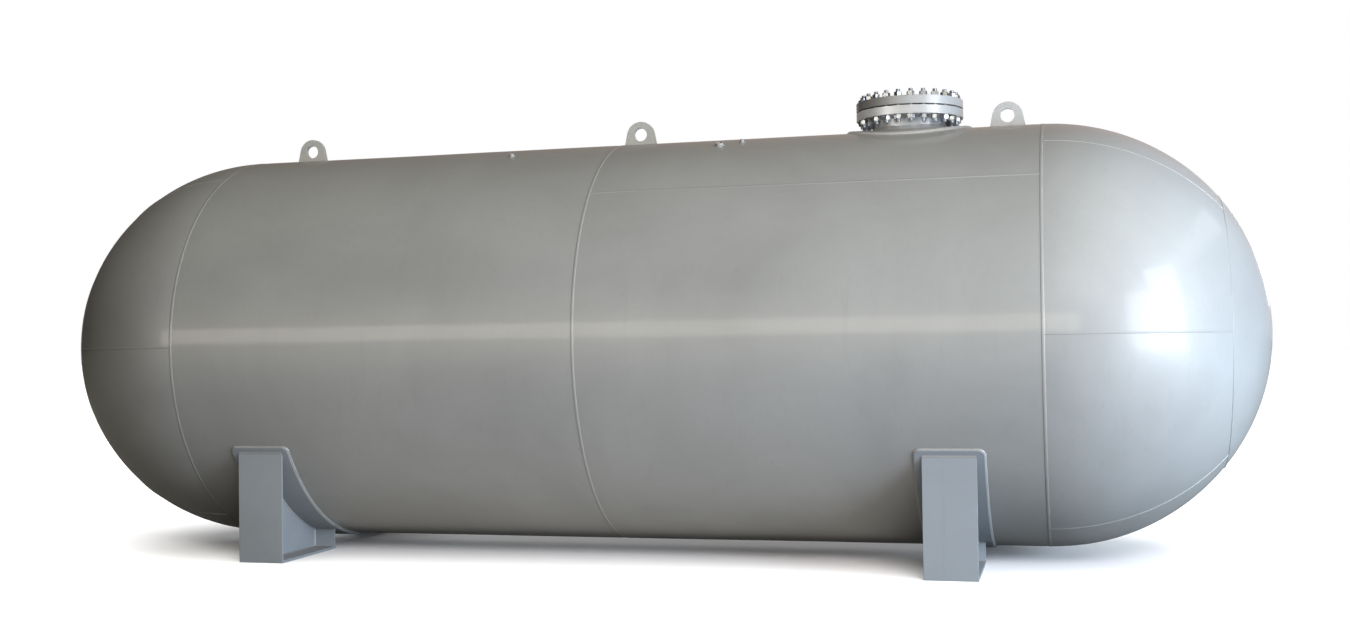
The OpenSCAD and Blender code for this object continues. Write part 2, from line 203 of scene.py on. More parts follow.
def lathe(profile, n=96, centre=(0, 0, 0), M=None):
    """A solid turned about Z from a closed profile of (r, z); points at r = 0 become poles."""
    prof = [(max(r, 0.0), z) for r, z in profile]
    th = np.arange(n) * 2 * np.pi / n
    V, idx = [], []
    for r, z in prof:
        if r < 1e-9:
            idx.append([len(V)] * n)
            V.append((0, 0, z))
        else:
            idx.append(list(range(len(V), len(V) + n)))
            V.extend(zip(r * np.cos(th), r * np.sin(th), np.full(n, z)))
    V = np.array(V, float)
    idx = np.array(idx)
    F4, F3 = [], []
    m = len(prof)
    for i in range(m):
        a, b = idx[i], idx[(i + 1) % m]
        a2, b2 = np.roll(a, -1), np.roll(b, -1)
        pa, pb = prof[i][0] < 1e-9, prof[(i + 1) % m][0] < 1e-9
        if pa and pb:
            continue
        if pa:
            F3.append(np.stack([a, b, b2], -1))
        elif pb:
            F3.append(np.stack([a, b, a2], -1))
        else:
            F4.append(np.stack([a, b, b2, a2], -1))
    F = []
    if F4:
        F.append(np.concatenate(F4))
    if F3:
        F.append(np.concatenate(F3))
    if M is not None:
        V = V @ np.array(M)[:3, :3].T + np.array(M)[:3, 3]
    return V + np.array(centre), F


def cut(o, cutters):
    """Cuts closed cutter meshes (V, F) out of a piece, exactly."""
    V, F = join_geo(cutters)
    me = bpy.data.meshes.new("cutter")
    faces = []
    for f in F:
        faces.extend(f.tolist())
    me.from_pydata(V.tolist(), [], faces)
    outward(me)
    c = bpy.data.objects.new("cutter", me)
    bpy.context.scene.collection.objects.link(c)
    m = o.modifiers.new("cut", "BOOLEAN")
    m.operation = "DIFFERENCE"
    m.solver = "EXACT"
    m.object = c
    bpy.context.view_layer.update()
    dg = bpy.context.evaluated_depsgraph_get()
    new = bpy.data.meshes.new_from_object(o.evaluated_get(dg))
    mats = [s.material for s in o.material_slots]
    o.modifiers.clear()
    old = o.data
    o.data = new
    new.materials.clear()
    for mt in mats:
        new.materials.append(mt)
    bpy.data.meshes.remove(old)
    bpy.data.objects.remove(c)
    bpy.data.meshes.remove(me)
    finish_mesh(o.data, 32)
    return o


def plate(name, loops, thick, M, mat, bevel=0.0012, **kw):
    """A flat plate from 2D loops (outline, then holes), centred on its plane, with softened edges."""
    bm = bmesh.new()
    edges = []
    for lp in loops:
        vs = [bm.verts.new((x, y, -thick / 2)) for x, y in lp]
        for i in range(len(vs)):
            edges.append(bm.edges.new((vs[i], vs[(i + 1) % len(vs)])))
    bmesh.ops.triangle_fill(bm, edges=edges, use_beauty=True, use_dissolve=False)
    r = bmesh.ops.extrude_face_region(bm, geom=bm.faces[:])
    bmesh.ops.translate(bm, vec=(0, 0, thick), verts=[v for v in r["geom"] if isinstance(v, bmesh.types.BMVert)])
    bmesh.ops.recalc_face_normals(bm, faces=bm.faces[:])
    if bm.calc_volume(signed=True) < 0:
        bmesh.ops.reverse_faces(bm, faces=bm.faces[:])
    if bevel:
        sharp = [e for e in bm.edges if len(e.link_faces) == 2 and e.calc_face_angle(0) > 0.7]
        bmesh.ops.bevel(bm, geom=sharp, offset=bevel, segments=2, profile=0.5, affect="EDGES", clamp_overlap=True)
    bmesh.ops.transform(bm, matrix=M, verts=bm.verts[:])
    me = bpy.data.meshes.new(name)
    bm.to_mesh(me)
    bm.free()
    outward(me)
    finish_mesh(me, 15)
    o = bpy.data.objects.new(name, me)
    bpy.context.scene.collection.objects.link(o)
    me.materials.append(mat)
    return place(o, kw.get("body", "root"), kw.get("reps", ()))


def resample(P, step, closed):
    """Points along a polyline at an even step. Returns the points and the fractional index of each."""
    P = np.asarray(P, float)
    Q = np.vstack([P, P[:1]]) if closed else P
    seg = np.linalg.norm(np.diff(Q, axis=0), axis=1)
    s = np.concatenate([[0], np.cumsum(seg)])
    n = max(4, int(round(s[-1] / step)))
    t = np.linspace(0, s[-1], n, endpoint=False) if closed else np.linspace(0, s[-1], n + 1)
    out = np.stack([np.interp(t, s, Q[:, k]) for k in range(3)], -1)
    return out, t, s


def interp_dirs(D, t, s, closed):
    D = np.asarray(D, float)
    if D.ndim == 1:
        D = np.tile(D, (len(t), 1))
        return D
    Q = np.vstack([D, D[:1]]) if closed else D
    out = np.stack([np.interp(t, s, Q[:, k]) for k in range(3)], -1)
    return out / np.linalg.norm(out, axis=1, keepdims=True)


def wobble(t, seed, scale=0.11):
    """A smooth irregular value in about -1..1 along a weld."""
    w = np.zeros_like(t)
    for k, a in enumerate((1.0, 0.6, 0.35)):
        w += a * np.sin(2 * np.pi * t / (scale * (1.0, 0.43, 0.19)[k]) + seed * (1.7 + k) + k * 2.1)
    return w / 1.95


PITCH = 0.011


def cap_bead(P, U, S, width, height, seed, closed, sink=0.0015, pitch=None):
    """A weld cap with ripples along a path. U is the surface's normal and S the sideways direction at each point."""
    pitch = pitch or PITCH
    P, t, s = resample(P, pitch / 3, closed)
    U = interp_dirs(U, t, s, closed)
    S = interp_dirs(S, t, s, closed)
    us = np.array([-1, -0.86, -0.6, -0.3, 0, 0.3, 0.6, 0.86, 1.0])
    total = s[-1]
    waves = max(1, round(total / pitch))
    wid = width / 2 * (1 + 0.07 * wobble(t, seed))
    hgt = height * (1 + 0.12 * wobble(t, seed + 3.3, 0.17))
    T = np.roll(P, -1, 0) - P
    if not closed:
        T[-1] = T[-2]
    T /= np.linalg.norm(T, axis=1, keepdims=True)
    rows = []
    for u in us:
        ph = 2 * np.pi * waves * (t / total) + 2.6 * (1 - u * u)
        rip = 0.5 + 0.5 * np.sin(ph)
        h = hgt * (1 - u * u) ** 0.62 * (0.86 + 0.14 * rip)
        lat = wid * u * (1 + 0.03 * np.sin(ph))
        if abs(u) > 0.99:
            h = np.full_like(t, -sink)
        rows.append(P + S * lat[:, None] + U * h[:, None])
    rows.append(P + S * (wid * 0.5)[:, None] - U * (sink + 0.002))
    rows.append(P - S * (wid * 0.5)[:, None] - U * (sink + 0.002))
    V = np.stack(rows, 1)
    n, m = V.shape[:2]
    F = [quads(n, m, closed, True)]
    V = V.reshape(-1, 3)
    if not closed:
        F.append(np.arange(m)[None, :])
        F.append((np.arange(m)[::-1] + (n - 1) * m)[None, :])
    return V, F


def fillet_bead(P, D1, D2, leg, seed, closed, bulge=0.18, pitch=None):
    """A fillet weld in the corner along a path, with a leg along each of two faces."""
    pitch = pitch or PITCH
    P, t, s = resample(P, pitch / 3, closed)
    D1 = interp_dirs(D1, t, s, closed)
    D2 = interp_dirs(D2, t, s, closed)
    total = s[-1]
    waves = max(1, round(total / pitch))
    L1 = leg * (1 + 0.08 * wobble(t, seed))
    L2 = leg * (1 + 0.08 * wobble(t, seed + 5.1))
    out = D1 + D2
    out /= np.linalg.norm(out, axis=1, keepdims=True)
    rows = []
    for f in (0.0, 0.12, 0.32, 0.5, 0.68, 0.88, 1.0):
        ph = 2 * np.pi * waves * (t / total) + 2.2 * (1 - (2 * f - 1) ** 2)
        rip = np.sin(ph)
        b = leg * (bulge * (1 - (2 * f - 1) ** 2) ** 0.8 + 0.022 * rip * (0 < f < 1))
        rows.append(P + D1 * (L1 * (1 - f))[:, None] + D2 * (L2 * f)[:, None] + out * b[:, None])
    rows.append(P - out * leg * 0.12)
    V = np.stack(rows, 1)
    n, m = V.shape[:2]
    F = [quads(n, m, closed, True)]
    V = V.reshape(-1, 3)
    if not closed:
        F.append(np.arange(m)[None, :])
        F.append((np.arange(m)[::-1] + (n - 1) * m)[None, :])
    return V, F


def waves(P, amp, seed):
    """A smooth height field over space, for plate that isn't quite true."""
    x, y, z = P[..., 0], P[..., 1], P[..., 2]
    w = (np.sin(1.9 * x + 0.7 * z + seed) * np.cos(1.3 * y - 0.9 * z + 2 * seed)
         + 0.6 * np.sin(3.7 * x - 2.1 * y + 3 * seed) * np.sin(2.9 * z + seed)
         + 0.35 * np.sin(7.1 * x + 1.3 * seed) * np.cos(5.3 * z - 4.1 * y + seed))
    return amp * w / 1.6


def ring_dir(a):
    """Unit vector across the vessel at angle a above -Y."""
    a = np.asarray(a, float)
    return np.stack([np.zeros_like(a), -np.cos(a), np.sin(a)], -1)


# ------------------------------------------------------------------ materials


def node(nt, kind, **kw):
    n = nt.nodes.new(kind)
    for k, v in kw.items():
        setattr(n, k, v)
    return n


def maths(nt, op, a, b=None, clamp=False):
    m = node(nt, "ShaderNodeMath", operation=op, use_clamp=clamp)
    for i, v in enumerate((a, b)):
        if v is None:
            continue
        if isinstance(v, (int, float)):
            m.inputs[i].default_value = v
        else:
            nt.links.new(v, m.inputs[i])
    return m.outputs[0]


def noise(nt, vec, scale, detail=4.0, rough=0.55, lac=2.0, dist=0.0):
    n = node(nt, "ShaderNodeTexNoise")
    n.inputs["Scale"].default_value = scale
    n.inputs["Detail"].default_value = detail
    n.inputs["Roughness"].default_value = rough
    n.inputs["Lacunarity"].default_value = lac
    n.inputs["Distortion"].default_value = dist
    nt.links.new(vec, n.inputs["Vector"])
    return n.outputs["Fac"]


def stretch(nt, vec, sx, sy, sz):
    m = node(nt, "ShaderNodeMapping")
    m.inputs["Scale"].default_value = (sx, sy, sz)
    nt.links.new(vec, m.inputs["Vector"])
    return m.outputs[0]


def ramp(nt, fac, stops):
    r = node(nt, "ShaderNodeValToRGB")
    e = r.color_ramp.elements
    while len(e) > 1:
        e.remove(e[-1])
    e[0].position = stops[0][0]
    e[0].color = (*stops[0][1], 1)
    for p, c in stops[1:]:
        k = e.new(p)
        k.color = (*c, 1)
    nt.links.new(fac, r.inputs[0])
    return r.outputs[0]


def mix(nt, fac, a, b, blend="MIX"):
    m = node(nt, "ShaderNodeMix", data_type="RGBA", blend_type=blend)
    if isinstance(fac, (int, float)):
        m.inputs[0].default_value = fac
    else:
        nt.links.new(fac, m.inputs[0])
    for i, v in ((6, a), (7, b)):
        if isinstance(v, tuple):
            m.inputs[i].default_value = (*v, 1)
        else:
            nt.links.new(v, m.inputs[i])
    return m.outputs[2]


def new_mat(name):
    mt = bpy.data.materials.new(name)
    mt.use_nodes = True
    nt = mt.node_tree
    nt.nodes.clear()
    out = node(nt, "ShaderNodeOutputMaterial")
    bsdf = node(nt, "ShaderNodeBsdfPrincipled")
    nt.links.new(bsdf.outputs[0], out.inputs[0])
    co = node(nt, "ShaderNodeTexCoord").outputs["Object"]
    return mt, nt, bsdf, co


def up_facing(nt):
    g = node(nt, "ShaderNodeNewGeometry")
    s = node(nt, "ShaderNodeSeparateXYZ")
    nt.links.new(g.outputs["Normal"], s.inputs[0])
    return s.outputs["Z"]


def bump(nt, bsdf, heights):
    """Chains bumps: (height socket, distance in metres, strength)."""
    last = None
    for h, d, st in heights:
        b = node(nt, "ShaderNodeBump")
        b.inputs["Distance"].default_value = d
        b.inputs["Strength"].default_value = st
        nt.links.new(h, b.inputs["Height"])
        if last is not None:
            nt.links.new(last, b.inputs["Normal"])
        last = b.outputs[0]
    nt.links.new(last, bsdf.inputs["Normal"])


def enamel(name, base, rough=0.38, coat=0.45, coat_rough=0.09, metallic=0.25, dirt=0.5, peel=1.0, seed=0.0):
    """Sprayed grey enamel: mottled tone, overspray, dust on top, run marks below, orange peel."""
    mt, nt, b, co = new_mat(name)
    off = node(nt, "ShaderNodeVectorMath", operation="ADD")
    nt.links.new(co, off.inputs[0])
    off.inputs[1].default_value = (seed, seed * 0.7, -seed * 0.4)
    co = off.outputs[0]
    d, l = tuple(c * 0.90 for c in base), tuple(min(1, c * 1.09) for c in base)
    broad = noise(nt, co, 0.9, 5, 0.6, 2.1, 0.6)
    col = ramp(nt, broad, [(0.28, d), (0.5, base), (0.74, l)])
    # spray passes: long soft bands along the vessel
    passes = noise(nt, stretch(nt, co, 0.35, 3.2, 3.2), 2.2, 3, 0.5)
    col = mix(nt, maths(nt, "MULTIPLY", maths(nt, "SUBTRACT", passes, 0.45, True), 0.55, True), col, l)
    # fine mottle of the dried coat
    fine = noise(nt, co, 38.0, 5, 0.62)
    col = mix(nt, maths(nt, "MULTIPLY", maths(nt, "SUBTRACT", fine, 0.5, True), 0.9, True), col, d)
    # run-down marks, stretched along Z
    runs = noise(nt, stretch(nt, co, 5.0, 5.0, 0.28), 3.0, 5, 0.65, 2.3, 0.3)
    runs = maths(nt, "MULTIPLY", maths(nt, "SUBTRACT", runs, 0.56, True), 2.2 * dirt, True)
    col = mix(nt, runs, col, tuple(c * f for c, f in zip(base, (0.78, 0.74, 0.68))))
    # dust that lies on what faces up
    z = up_facing(nt)
    dust = noise(nt, co, 5.5, 6, 0.7)
    dust = maths(nt, "MULTIPLY", maths(nt, "POWER", maths(nt, "MAXIMUM", z, 0.0), 3.0), maths(nt, "MULTIPLY", dust, 0.55 * dirt), True)
    col = mix(nt, dust, col, (0.36, 0.33, 0.27))
    # specks
    sp = noise(nt, co, 240.0, 2, 0.5)
    sp = maths(nt, "MULTIPLY", maths(nt, "SUBTRACT", sp, 0.68, True), 5.0, True)
    col = mix(nt, maths(nt, "MULTIPLY", sp, 0.5 * dirt), col, (0.07, 0.065, 0.06))
    nt.links.new(col, b.inputs["Base Color"])
    r = maths(nt, "ADD", maths(nt, "MULTIPLY", broad, 0.10), rough - 0.05)
    r = maths(nt, "ADD", r, maths(nt, "MULTIPLY", fine, 0.06))
    r = maths(nt, "ADD", r, maths(nt, "MULTIPLY", dust, 0.5), True)
    nt.links.new(r, b.inputs["Roughness"])
    b.inputs["Metallic"].default_value = metallic
    b.inputs["Coat Weight"].default_value = coat
    b.inputs["Coat Roughness"].default_value = coat_rough
    orange = noise(nt, co, 150.0, 3, 0.55)
    bump(nt, b, [(noise(nt, co, 9.0, 2, 0.5), 0.0011, 0.35 * peel), (orange, 0.00035, 0.45 * peel)])
    return mt


def zinc(name, base=(0.72, 0.77, 0.86), rough=0.24):
    """Bright zinc plate with a fine grain and dull patches."""
    mt, nt, b, co = new_mat(name)
    n1 = noise(nt, co, 60.0, 5, 0.65)
    n2 = noise(nt, co, 9.0, 3, 0.6)
    d = tuple(c * 0.72 for c in base)
    col = ramp(nt, n1, [(0.3, d), (0.5, base), (0.8, tuple(min(1, c * 1.12) for c in base))])
    col = mix(nt, maths(nt, "MULTIPLY", maths(nt, "SUBTRACT", n2, 0.52, True), 1.6, True), col, (0.46, 0.47, 0.48))
    nt.links.new(col, b.inputs["Base Color"])
    nt.links.new(maths(nt, "ADD", maths(nt, "MULTIPLY", n1, 0.22), rough - 0.06), b.inputs["Roughness"])
    b.inputs["Metallic"].default_value = 1.0
    bump(nt, b, [(noise(nt, co, 300.0, 4, 0.6), 0.0002, 0.4)])
    return mt


def graphite(name):
    mt, nt, b, co = new_mat(name)
    n1 = noise(nt, co, 85.0, 4, 0.6)
    nt.links.new(ramp(nt, n1, [(0.3, (0.018, 0.018, 0.02)), (0.75, (0.05, 0.05, 0.055))]), b.inputs["Base Color"])
    nt.links.new(maths(nt, "ADD", maths(nt, "MULTIPLY", n1, 0.3), 0.5), b.inputs["Roughness"])
    bump(nt, b, [(noise(nt, co, 500.0, 3, 0.5), 0.0002, 0.5)])
    return mt


GREY = (0.285, 0.288, 0.280)
M_SHELL = enamel("vessel_enamel", GREY)
M_HEAD = enamel("head_enamel", (0.290, 0.293, 0.287), seed=11.0)
M_WELD = enamel("weld_enamel", (0.286, 0.289, 0.283), rough=0.38, dirt=0.35, peel=0.6, seed=4.0)
M_MAN = enamel("manway_enamel", (0.300, 0.298, 0.290), rough=0.34, dirt=0.7, seed=7.0)
M_SAD = enamel("saddle_enamel", (0.214, 0.236, 0.254), rough=0.58, coat=0.06, coat_rough=0.3, metallic=0.12, dirt=0.7, seed=19.0)
# lugs: the vessel's grey painted lighter, as painted light in place of light that the lamps don't bring to them
M_LUG_PAINTED_LIGHT = enamel("lug_enamel_painted_light", (0.350, 0.352, 0.342), seed=29.0)
# couplings: the vessel's grey painted lighter, as a painted highlight for the bright rims they show under light
M_CPL_PAINTED_HIGHLIGHT = enamel("coupling_enamel_painted_highlight", (0.36, 0.36, 0.35), rough=0.3, dirt=0.3, seed=23.0)
M_ZINC = zinc("bright_zinc")
M_GASK = graphite("gasket_graphite")

# ------------------------------------------------------------------ shell courses


def shell_radius(x, a, seed):
    """Outer radius of the rolled plate: true, but for shrinkage at the girth welds and gentle waves."""
    P = np.stack([x, -np.cos(a) * R, np.sin(a) * R], -1)
    r = R + waves(P, 0.0011, seed)
    for xs in (-TX, 0.0, TX):
        r = r - 0.0012 * np.exp(-((x - xs) / 0.07) ** 2)
    return r


def course(name, x0, x1, seed, seam_a):
    na = 360
    nx = 72
    d = np.linspace(0, 1, nx)
    d = 0.5 - 0.5 * np.cos(np.pi * d) * (0.35 + 0.65 * np.abs(np.cos(np.pi * d)) ** 0.5)
    d = (d - d[0]) / (d[-1] - d[0])
    xs = x0 + (x1 - x0) * np.linspace(0, 1, nx) * 0.4 + (x1 - x0) * d * 0.6
    a = np.arange(na) * 2 * np.pi / na
    A, X = np.meshgrid(a, xs, indexing="ij")
    r = shell_radius(X, A, seed)
    dist = (A - seam_a + np.pi) % (2 * np.pi) - np.pi
    r = r - 0.0008 * np.exp(-(dist * R / 0.06) ** 2)
    D = ring_dir(A)
    outer = D * r[..., None]
    outer[..., 0] = X
    outer[..., 2] += AZ
    xi = np.array([x1, x1 - 0.4, x0 + 0.4, x0])
    A2, X2 = np.meshgrid(a, xi, indexing="ij")
    inner = ring_dir(A2) * (R - SHELL_T)
    inner[..., 0] = X2
    inner[..., 2] += AZ
    V = np.concatenate([outer, inner], 1)
    n, m = V.shape[:2]
    return make(name, V.reshape(-1, 3), quads(n, m, True, True), M_SHELL, reps=(name.replace("vis_", ""),), angle=30)


def rod(r, z0, z1, M=None, n=64, centre=(0, 0, 0)):
    return lathe([(0, z0), (r, z0), (r, z1), (0, z1)], n, centre, M)


def on_shell(x, tilt_deg):
    """Frame of a fitting on the shell: Z outward, at an angle from the top towards -Y."""
    return Matrix.Translation((x, 0, AZ)) @ Matrix.Rotation(math.radians(tilt_deg), 4, "X")


COUPLINGS = {
    "gauge_coupling": (-0.780, 21.5, 0.018, 0.01205),
    "relief_coupling": (0.817, 21.0, 0.029, 0.0225),
    "sensor_coupling": (0.969, 18.0, 0.0145, 0.0093),
}
DRAIN = (-2.850, 180.0, 0.022, 0.015)

left = course("vis_shell_course_left", -TX + G, -G, 0.7, math.pi / 2 + SEAM_A)
right = course("vis_shell_course_right", G, TX - G, 2.9, math.pi / 2 - SEAM_A)
gx, ga, gr, _ = COUPLINGS["gauge_coupling"]
cut(left, [rod(gr - 0.0002, R - 0.1, R + 0.1, on_shell(gx, ga), 32), rod(DRAIN[2] - 0.0002, R - 0.1, R + 0.1, on_shell(DRAIN[0], DRAIN[1]), 32)])
holes = [rod(NECK - 0.0004, AZ + R - 0.2, AZ + R + 0.1, None, 96, (MX, 0, 0))]
for k in ("relief_coupling", "sensor_coupling"):
    cx, ca, cr, _ = COUPLINGS[k]
    holes.append(rod(cr - 0.0002, R - 0.1, R + 0.1, on_shell(cx, ca), 32))
cut(right, holes)

# ------------------------------------------------------------------ girth and long welds


def girth(x, seed):
    a = np.linspace(0, 2 * np.pi, 720, endpoint=False)
    D = ring_dir(a)
    P = D * (R - 0.0010)
    P[:, 0] = x
    P[:, 2] += AZ
    return cap_bead(P, D, np.array([1.0, 0, 0]), 0.022, 0.0025, seed, True, sink=0.002)


V, F = join_geo([girth(-TX, 1.0), girth(0.0, 2.0), girth(TX, 3.0)])
make("vis_girth_welds", V, F, M_WELD, reps=("girth_welds",), angle=60)


def long_weld(x0, x1, a, seed):
    d = ring_dir(np.array([a]))[0]
    s = ring_dir(np.array([a + math.pi / 2]))[0]
    n = 60
    P = np.tile(d * (R - 0.0006), (n, 1))
    P[:, 0] = np.linspace(x0, x1, n)
    P[:, 2] += AZ
    return cap_bead(P, d, s, 0.018, 0.0026, seed, False, sink=0.002)


V, F = join_geo([long_weld(-TX + 0.005, -0.005, math.pi / 2 + SEAM_A, 5.0), long_weld(0.005, TX - 0.005, math.pi / 2 - SEAM_A, 6.0)])
make("vis_long_seam_welds", V, F, M_WELD, reps=("long_seam_welds",), angle=60)

# ------------------------------------------------------------------ heads


def head_point(side, t, a, r):
    """Point of a head: t from the vessel axis, a above -Y, radius r."""
    D = ring_dir(a) * np.sin(t)[..., None]
    P = D * np.asarray(r)[..., None]
    P[..., 0] = side * (TX + np.cos(t) * r)
    P[..., 2] += AZ
    return P


def head_r(side, t, a, seed):
    P = np.stack([np.cos(t), -np.cos(a) * np.sin(t), np.sin(a) * np.sin(t)], -1) * R
    r = R + waves(P * 1.3, 0.0013, seed + side)
    # pressed gores stand a touch flat between their seams
    k = (a / (math.pi / 3)) % 1.0
    flat = np.sin(np.pi * k) ** 2 * np.clip((t - CROWN) / 0.2, 0, 1)
    r = r - 0.0012 * (1 - flat) * np.clip((t - CROWN) / 0.1, 0, 1)
    r = r - 0.0008 * np.exp(-((t - CROWN) * R / 0.05) ** 2)
    return r - 0.0006


def petal(side, k):
    nt_, na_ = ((56, 60))
    t = np.linspace(CROWN + G / R, math.pi / 2 - G / R, nt_)
    v = np.linspace(0, 1, na_)
    T, VV = np.meshgrid(t, v, indexing="ij")
    gap = np.arcsin(G / (R * np.sin(T)))
    A = math.radians(60) * (k - 1) + gap + (math.radians(60) - 2 * gap) * VV
    ro = head_r(side, T, A, 1.9)
    outer = head_point(side, T, A, ro)
    inner = head_point(side, T, A, np.full_like(T, R - HEAD_T))
    V, F = slab(outer, inner)
    nm = ("left" if side < 0 else "right") + f"_head_petal_{k}"
    make("vis_" + nm, V, F, M_HEAD, reps=(nm,), angle=40)


def crown(side):
    nt_, na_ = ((30, 120))
    t = np.linspace(0, CROWN - G / R, nt_)[1:]
    a = np.arange(na_) * 2 * np.pi / na_
    T, A = np.meshgrid(t, a, indexing="ij")
    outer = head_point(side, T, A, head_r(side, T, A, 1.9))
    inner = head_point(side, T, A, np.full_like(T, R - HEAD_T))
    nu, nv = T.shape
    V = np.concatenate([outer.reshape(-1, 3), inner.reshape(-1, 3),
                        head_point(side, np.array([0.0]), np.array([0.0]), head_r(side, np.array([0.0]), np.array([0.0]), 1.9)),
                        head_point(side, np.array([0.0]), np.array([0.0]), np.array([R - HEAD_T]))])
    n = nu * nv
    F = [quads(nu, nv, False, True), quads(nu, nv, False, True, flip=True, base=n)]
    rim = np.arange(nv) + (nu - 1) * nv
    F.append(np.stack([rim, np.roll(rim, -1), np.roll(rim, -1) + n, rim + n], -1))
    first = np.arange(nv)
    F.append(np.stack([np.full(nv, 2 * n), first, np.roll(first, -1)], -1))
    F.append(np.stack([np.full(nv, 2 * n + 1), np.roll(first, -1) + n, first + n], -1))
    nm = ("left" if side < 0 else "right") + "_head_crown"
    make("vis_" + nm, V, F, M_HEAD, reps=(nm,), angle=40)


def head_welds(side):
    parts = []
    for k in range(6):
        a = math.radians(60) * k
        t = np.linspace(CROWN + 0.004, math.pi / 2 - 0.0085, 60)
        A = np.full_like(t, a)
        P = head_point(side, t, A, np.full_like(t, R - 0.0018))
        U = P - np.array([side * TX, 0, AZ])
        U /= np.linalg.norm(U, axis=1, keepdims=True)
        S = ring_dir(A + math.pi / 2)
        parts.append(cap_bead(P, U, S, 0.013, 0.0034, 7.0 + k + side, False, sink=0.0015))
    a = np.linspace(0, 2 * np.pi, 360, endpoint=False)
    T = np.full_like(a, CROWN)
    P = head_point(side, T, a, np.full_like(a, R - 0.0014))
    U = P - np.array([side * TX, 0, AZ])
    U /= np.linalg.norm(U, axis=1, keepdims=True)
    dP = head_point(side, T + 0.001, a, np.full_like(a, R)) - head_point(side, T, a, np.full_like(a, R))
    S = dP / np.linalg.norm(dP, axis=1, keepdims=True)
    parts.append(cap_bead(P, U, S, 0.014, 0.0030, 20.0 + side, True, sink=0.0015))
    V, F = join_geo(parts)
    nm = ("left" if side < 0 else "right") + "_head_welds"
    make("vis_" + nm, V, F, M_WELD, reps=(nm,), angle=60)


for sd in (-1, 1):
    for kk in range(1, 7):
        petal(sd, kk)
    crown(sd)
    head_welds(sd)

# ------------------------------------------------------------------ manway

MT = Matrix.Translation((MX, 0, 0))


def curved_ring(r0, r1, rad, thick, n=192, m=14, edge=0.0015):
    """A ring of plate between radii r0 and r1 about the manway axis, lying on a cylinder of radius rad."""
    a = np.arange(n) * 2 * np.pi / n
    rr = np.concatenate([[r0], np.linspace(r0 + 0.004, r1 - edge, m), [r1]])
    A, RR = np.meshgrid(a, rr, indexing="ij")
    y = RR * np.sin(A)
    zt = np.sqrt((rad + thick) ** 2 - y ** 2)
    zt[:, -1] -= edge
    zb = np.sqrt(rad ** 2 - y ** 2)
    top = np.stack([MX + RR * np.cos(A), y, AZ + zt], -1)
    bot = np.stack([MX + RR * np.cos(A), y, AZ + zb], -1)
    return slab(top, bot, wrap_u=True)


V, F = curved_ring(NECK, PAD_R, R - 0.0010, PAD_T + 0.0010)
make("vis_manway_pad", V, F, M_MAN, reps=("manway_pad",))

zt = SEAL - FL_T * 0.7
V, F = lathe([(NECK - NECK_T, AZ + R - SHELL_T - 0.06), (NECK - NECK_T + 0.003, AZ + R - SHELL_T - 0.063 + 0.003), (NECK, AZ + R - SHELL_T - 0.06),
              (NECK, AZ + R + 0.04), (NECK, zt - 0.001), (NECK - NECK_T, zt - 0.001)], 160, (MX, 0, 0))
make("vis_manway_neck", V, F, M_MAN, reps=("manway_neck",))

# Flange: slip-on ring, raised face with a fine spiral finish
lo = SEAL - FL_T
ch = 0.002
prof = [(NECK, lo), (FL_R - ch, lo), (FL_R, lo + ch), (FL_R, SEAL - RF_H - ch), (FL_R - ch, SEAL - RF_H), (RF_R + 0.0006, SEAL - RF_H), (RF_R, SEAL)]
for i in range(8):
    r = RF_R - 0.004 - i * 0.006
    prof += [(r, SEAL), (r - 0.0015, SEAL - 0.0004), (r - 0.003, SEAL)]
prof += [(NECK - NECK_T + 0.001, SEAL), (NECK - NECK_T, SEAL - 0.001), (NECK - NECK_T, zt), (NECK, zt)]
V, F = lathe(prof, 192, (MX, 0, 0))
flange = make("vis_manway_flange", V, F, M_MAN, reps=("manway_flange",))
stud_xy = [(MX + PCD * math.cos((i + 0.5) * 2 * math.pi / N_STUD), PCD * math.sin((i + 0.5) * 2 * math.pi / N_STUD)) for i in range(N_STUD)]


def hole_cutters(z0, z1):
    """Bolt-hole cutters, countersunk a little at both faces."""
    c = 0.0015
    return [lathe([(0, z0 - 0.01), (HOLE_R + c + 0.01, z0 - 0.01), (HOLE_R, z0 + c), (HOLE_R, z1 - c), (HOLE_R + c + 0.01, z1 + 0.01), (0, z1 + 0.01)], 32, (x, y, 0)) for x, y in stud_xy]


cut(flange, hole_cutters(lo, SEAL - RF_H))

# Blind cover: turned rim, flat top with shallow turning marks, raised face below
c0 = SEAL + GASK
c1 = c0 + FL_T
prof = [(0, c0), (RF_R - 0.0006, c0), (RF_R, c0 + RF_H), (FL_R - ch, c0 + RF_H), (FL_R, c0 + RF_H + ch), (FL_R, c1 - ch), (FL_R - ch, c1)]
for i in range(40):
    r = FL_R - 0.008 - i * 0.009
    if r > 0.015:
        prof += [(r, c1 - 0.00015 * (i % 2)), (r - 0.004, c1 - 0.00015 * ((i + 1) % 2))]
prof += [(0, c1)]
V, F = lathe(prof, 192, (MX, 0, 0))
cover = make("vis_manway_cover", V, F, M_MAN, body="manway_cover", reps=("manway_cover",))
cut(cover, hole_cutters(c0 + RF_H, c1))

# Gasket: wound ring with an outer centring ring
prof = [(NECK + 0.004, SEAL), (RF_R, SEAL), (RF_R, SEAL + 0.0008), (PCD - STUD_R - 0.001, SEAL + 0.0008), (PCD - STUD_R - 0.001, SEAL + GASK - 0.0008),
        (RF_R, SEAL + GASK - 0.0008), (RF_R, SEAL + GASK), (NECK + 0.004, SEAL + GASK)]
V, F = lathe(prof, 160, (MX, 0, 0))
make("vis_manway_gasket", V, F, M_GASK, reps=("manway_gasket",))


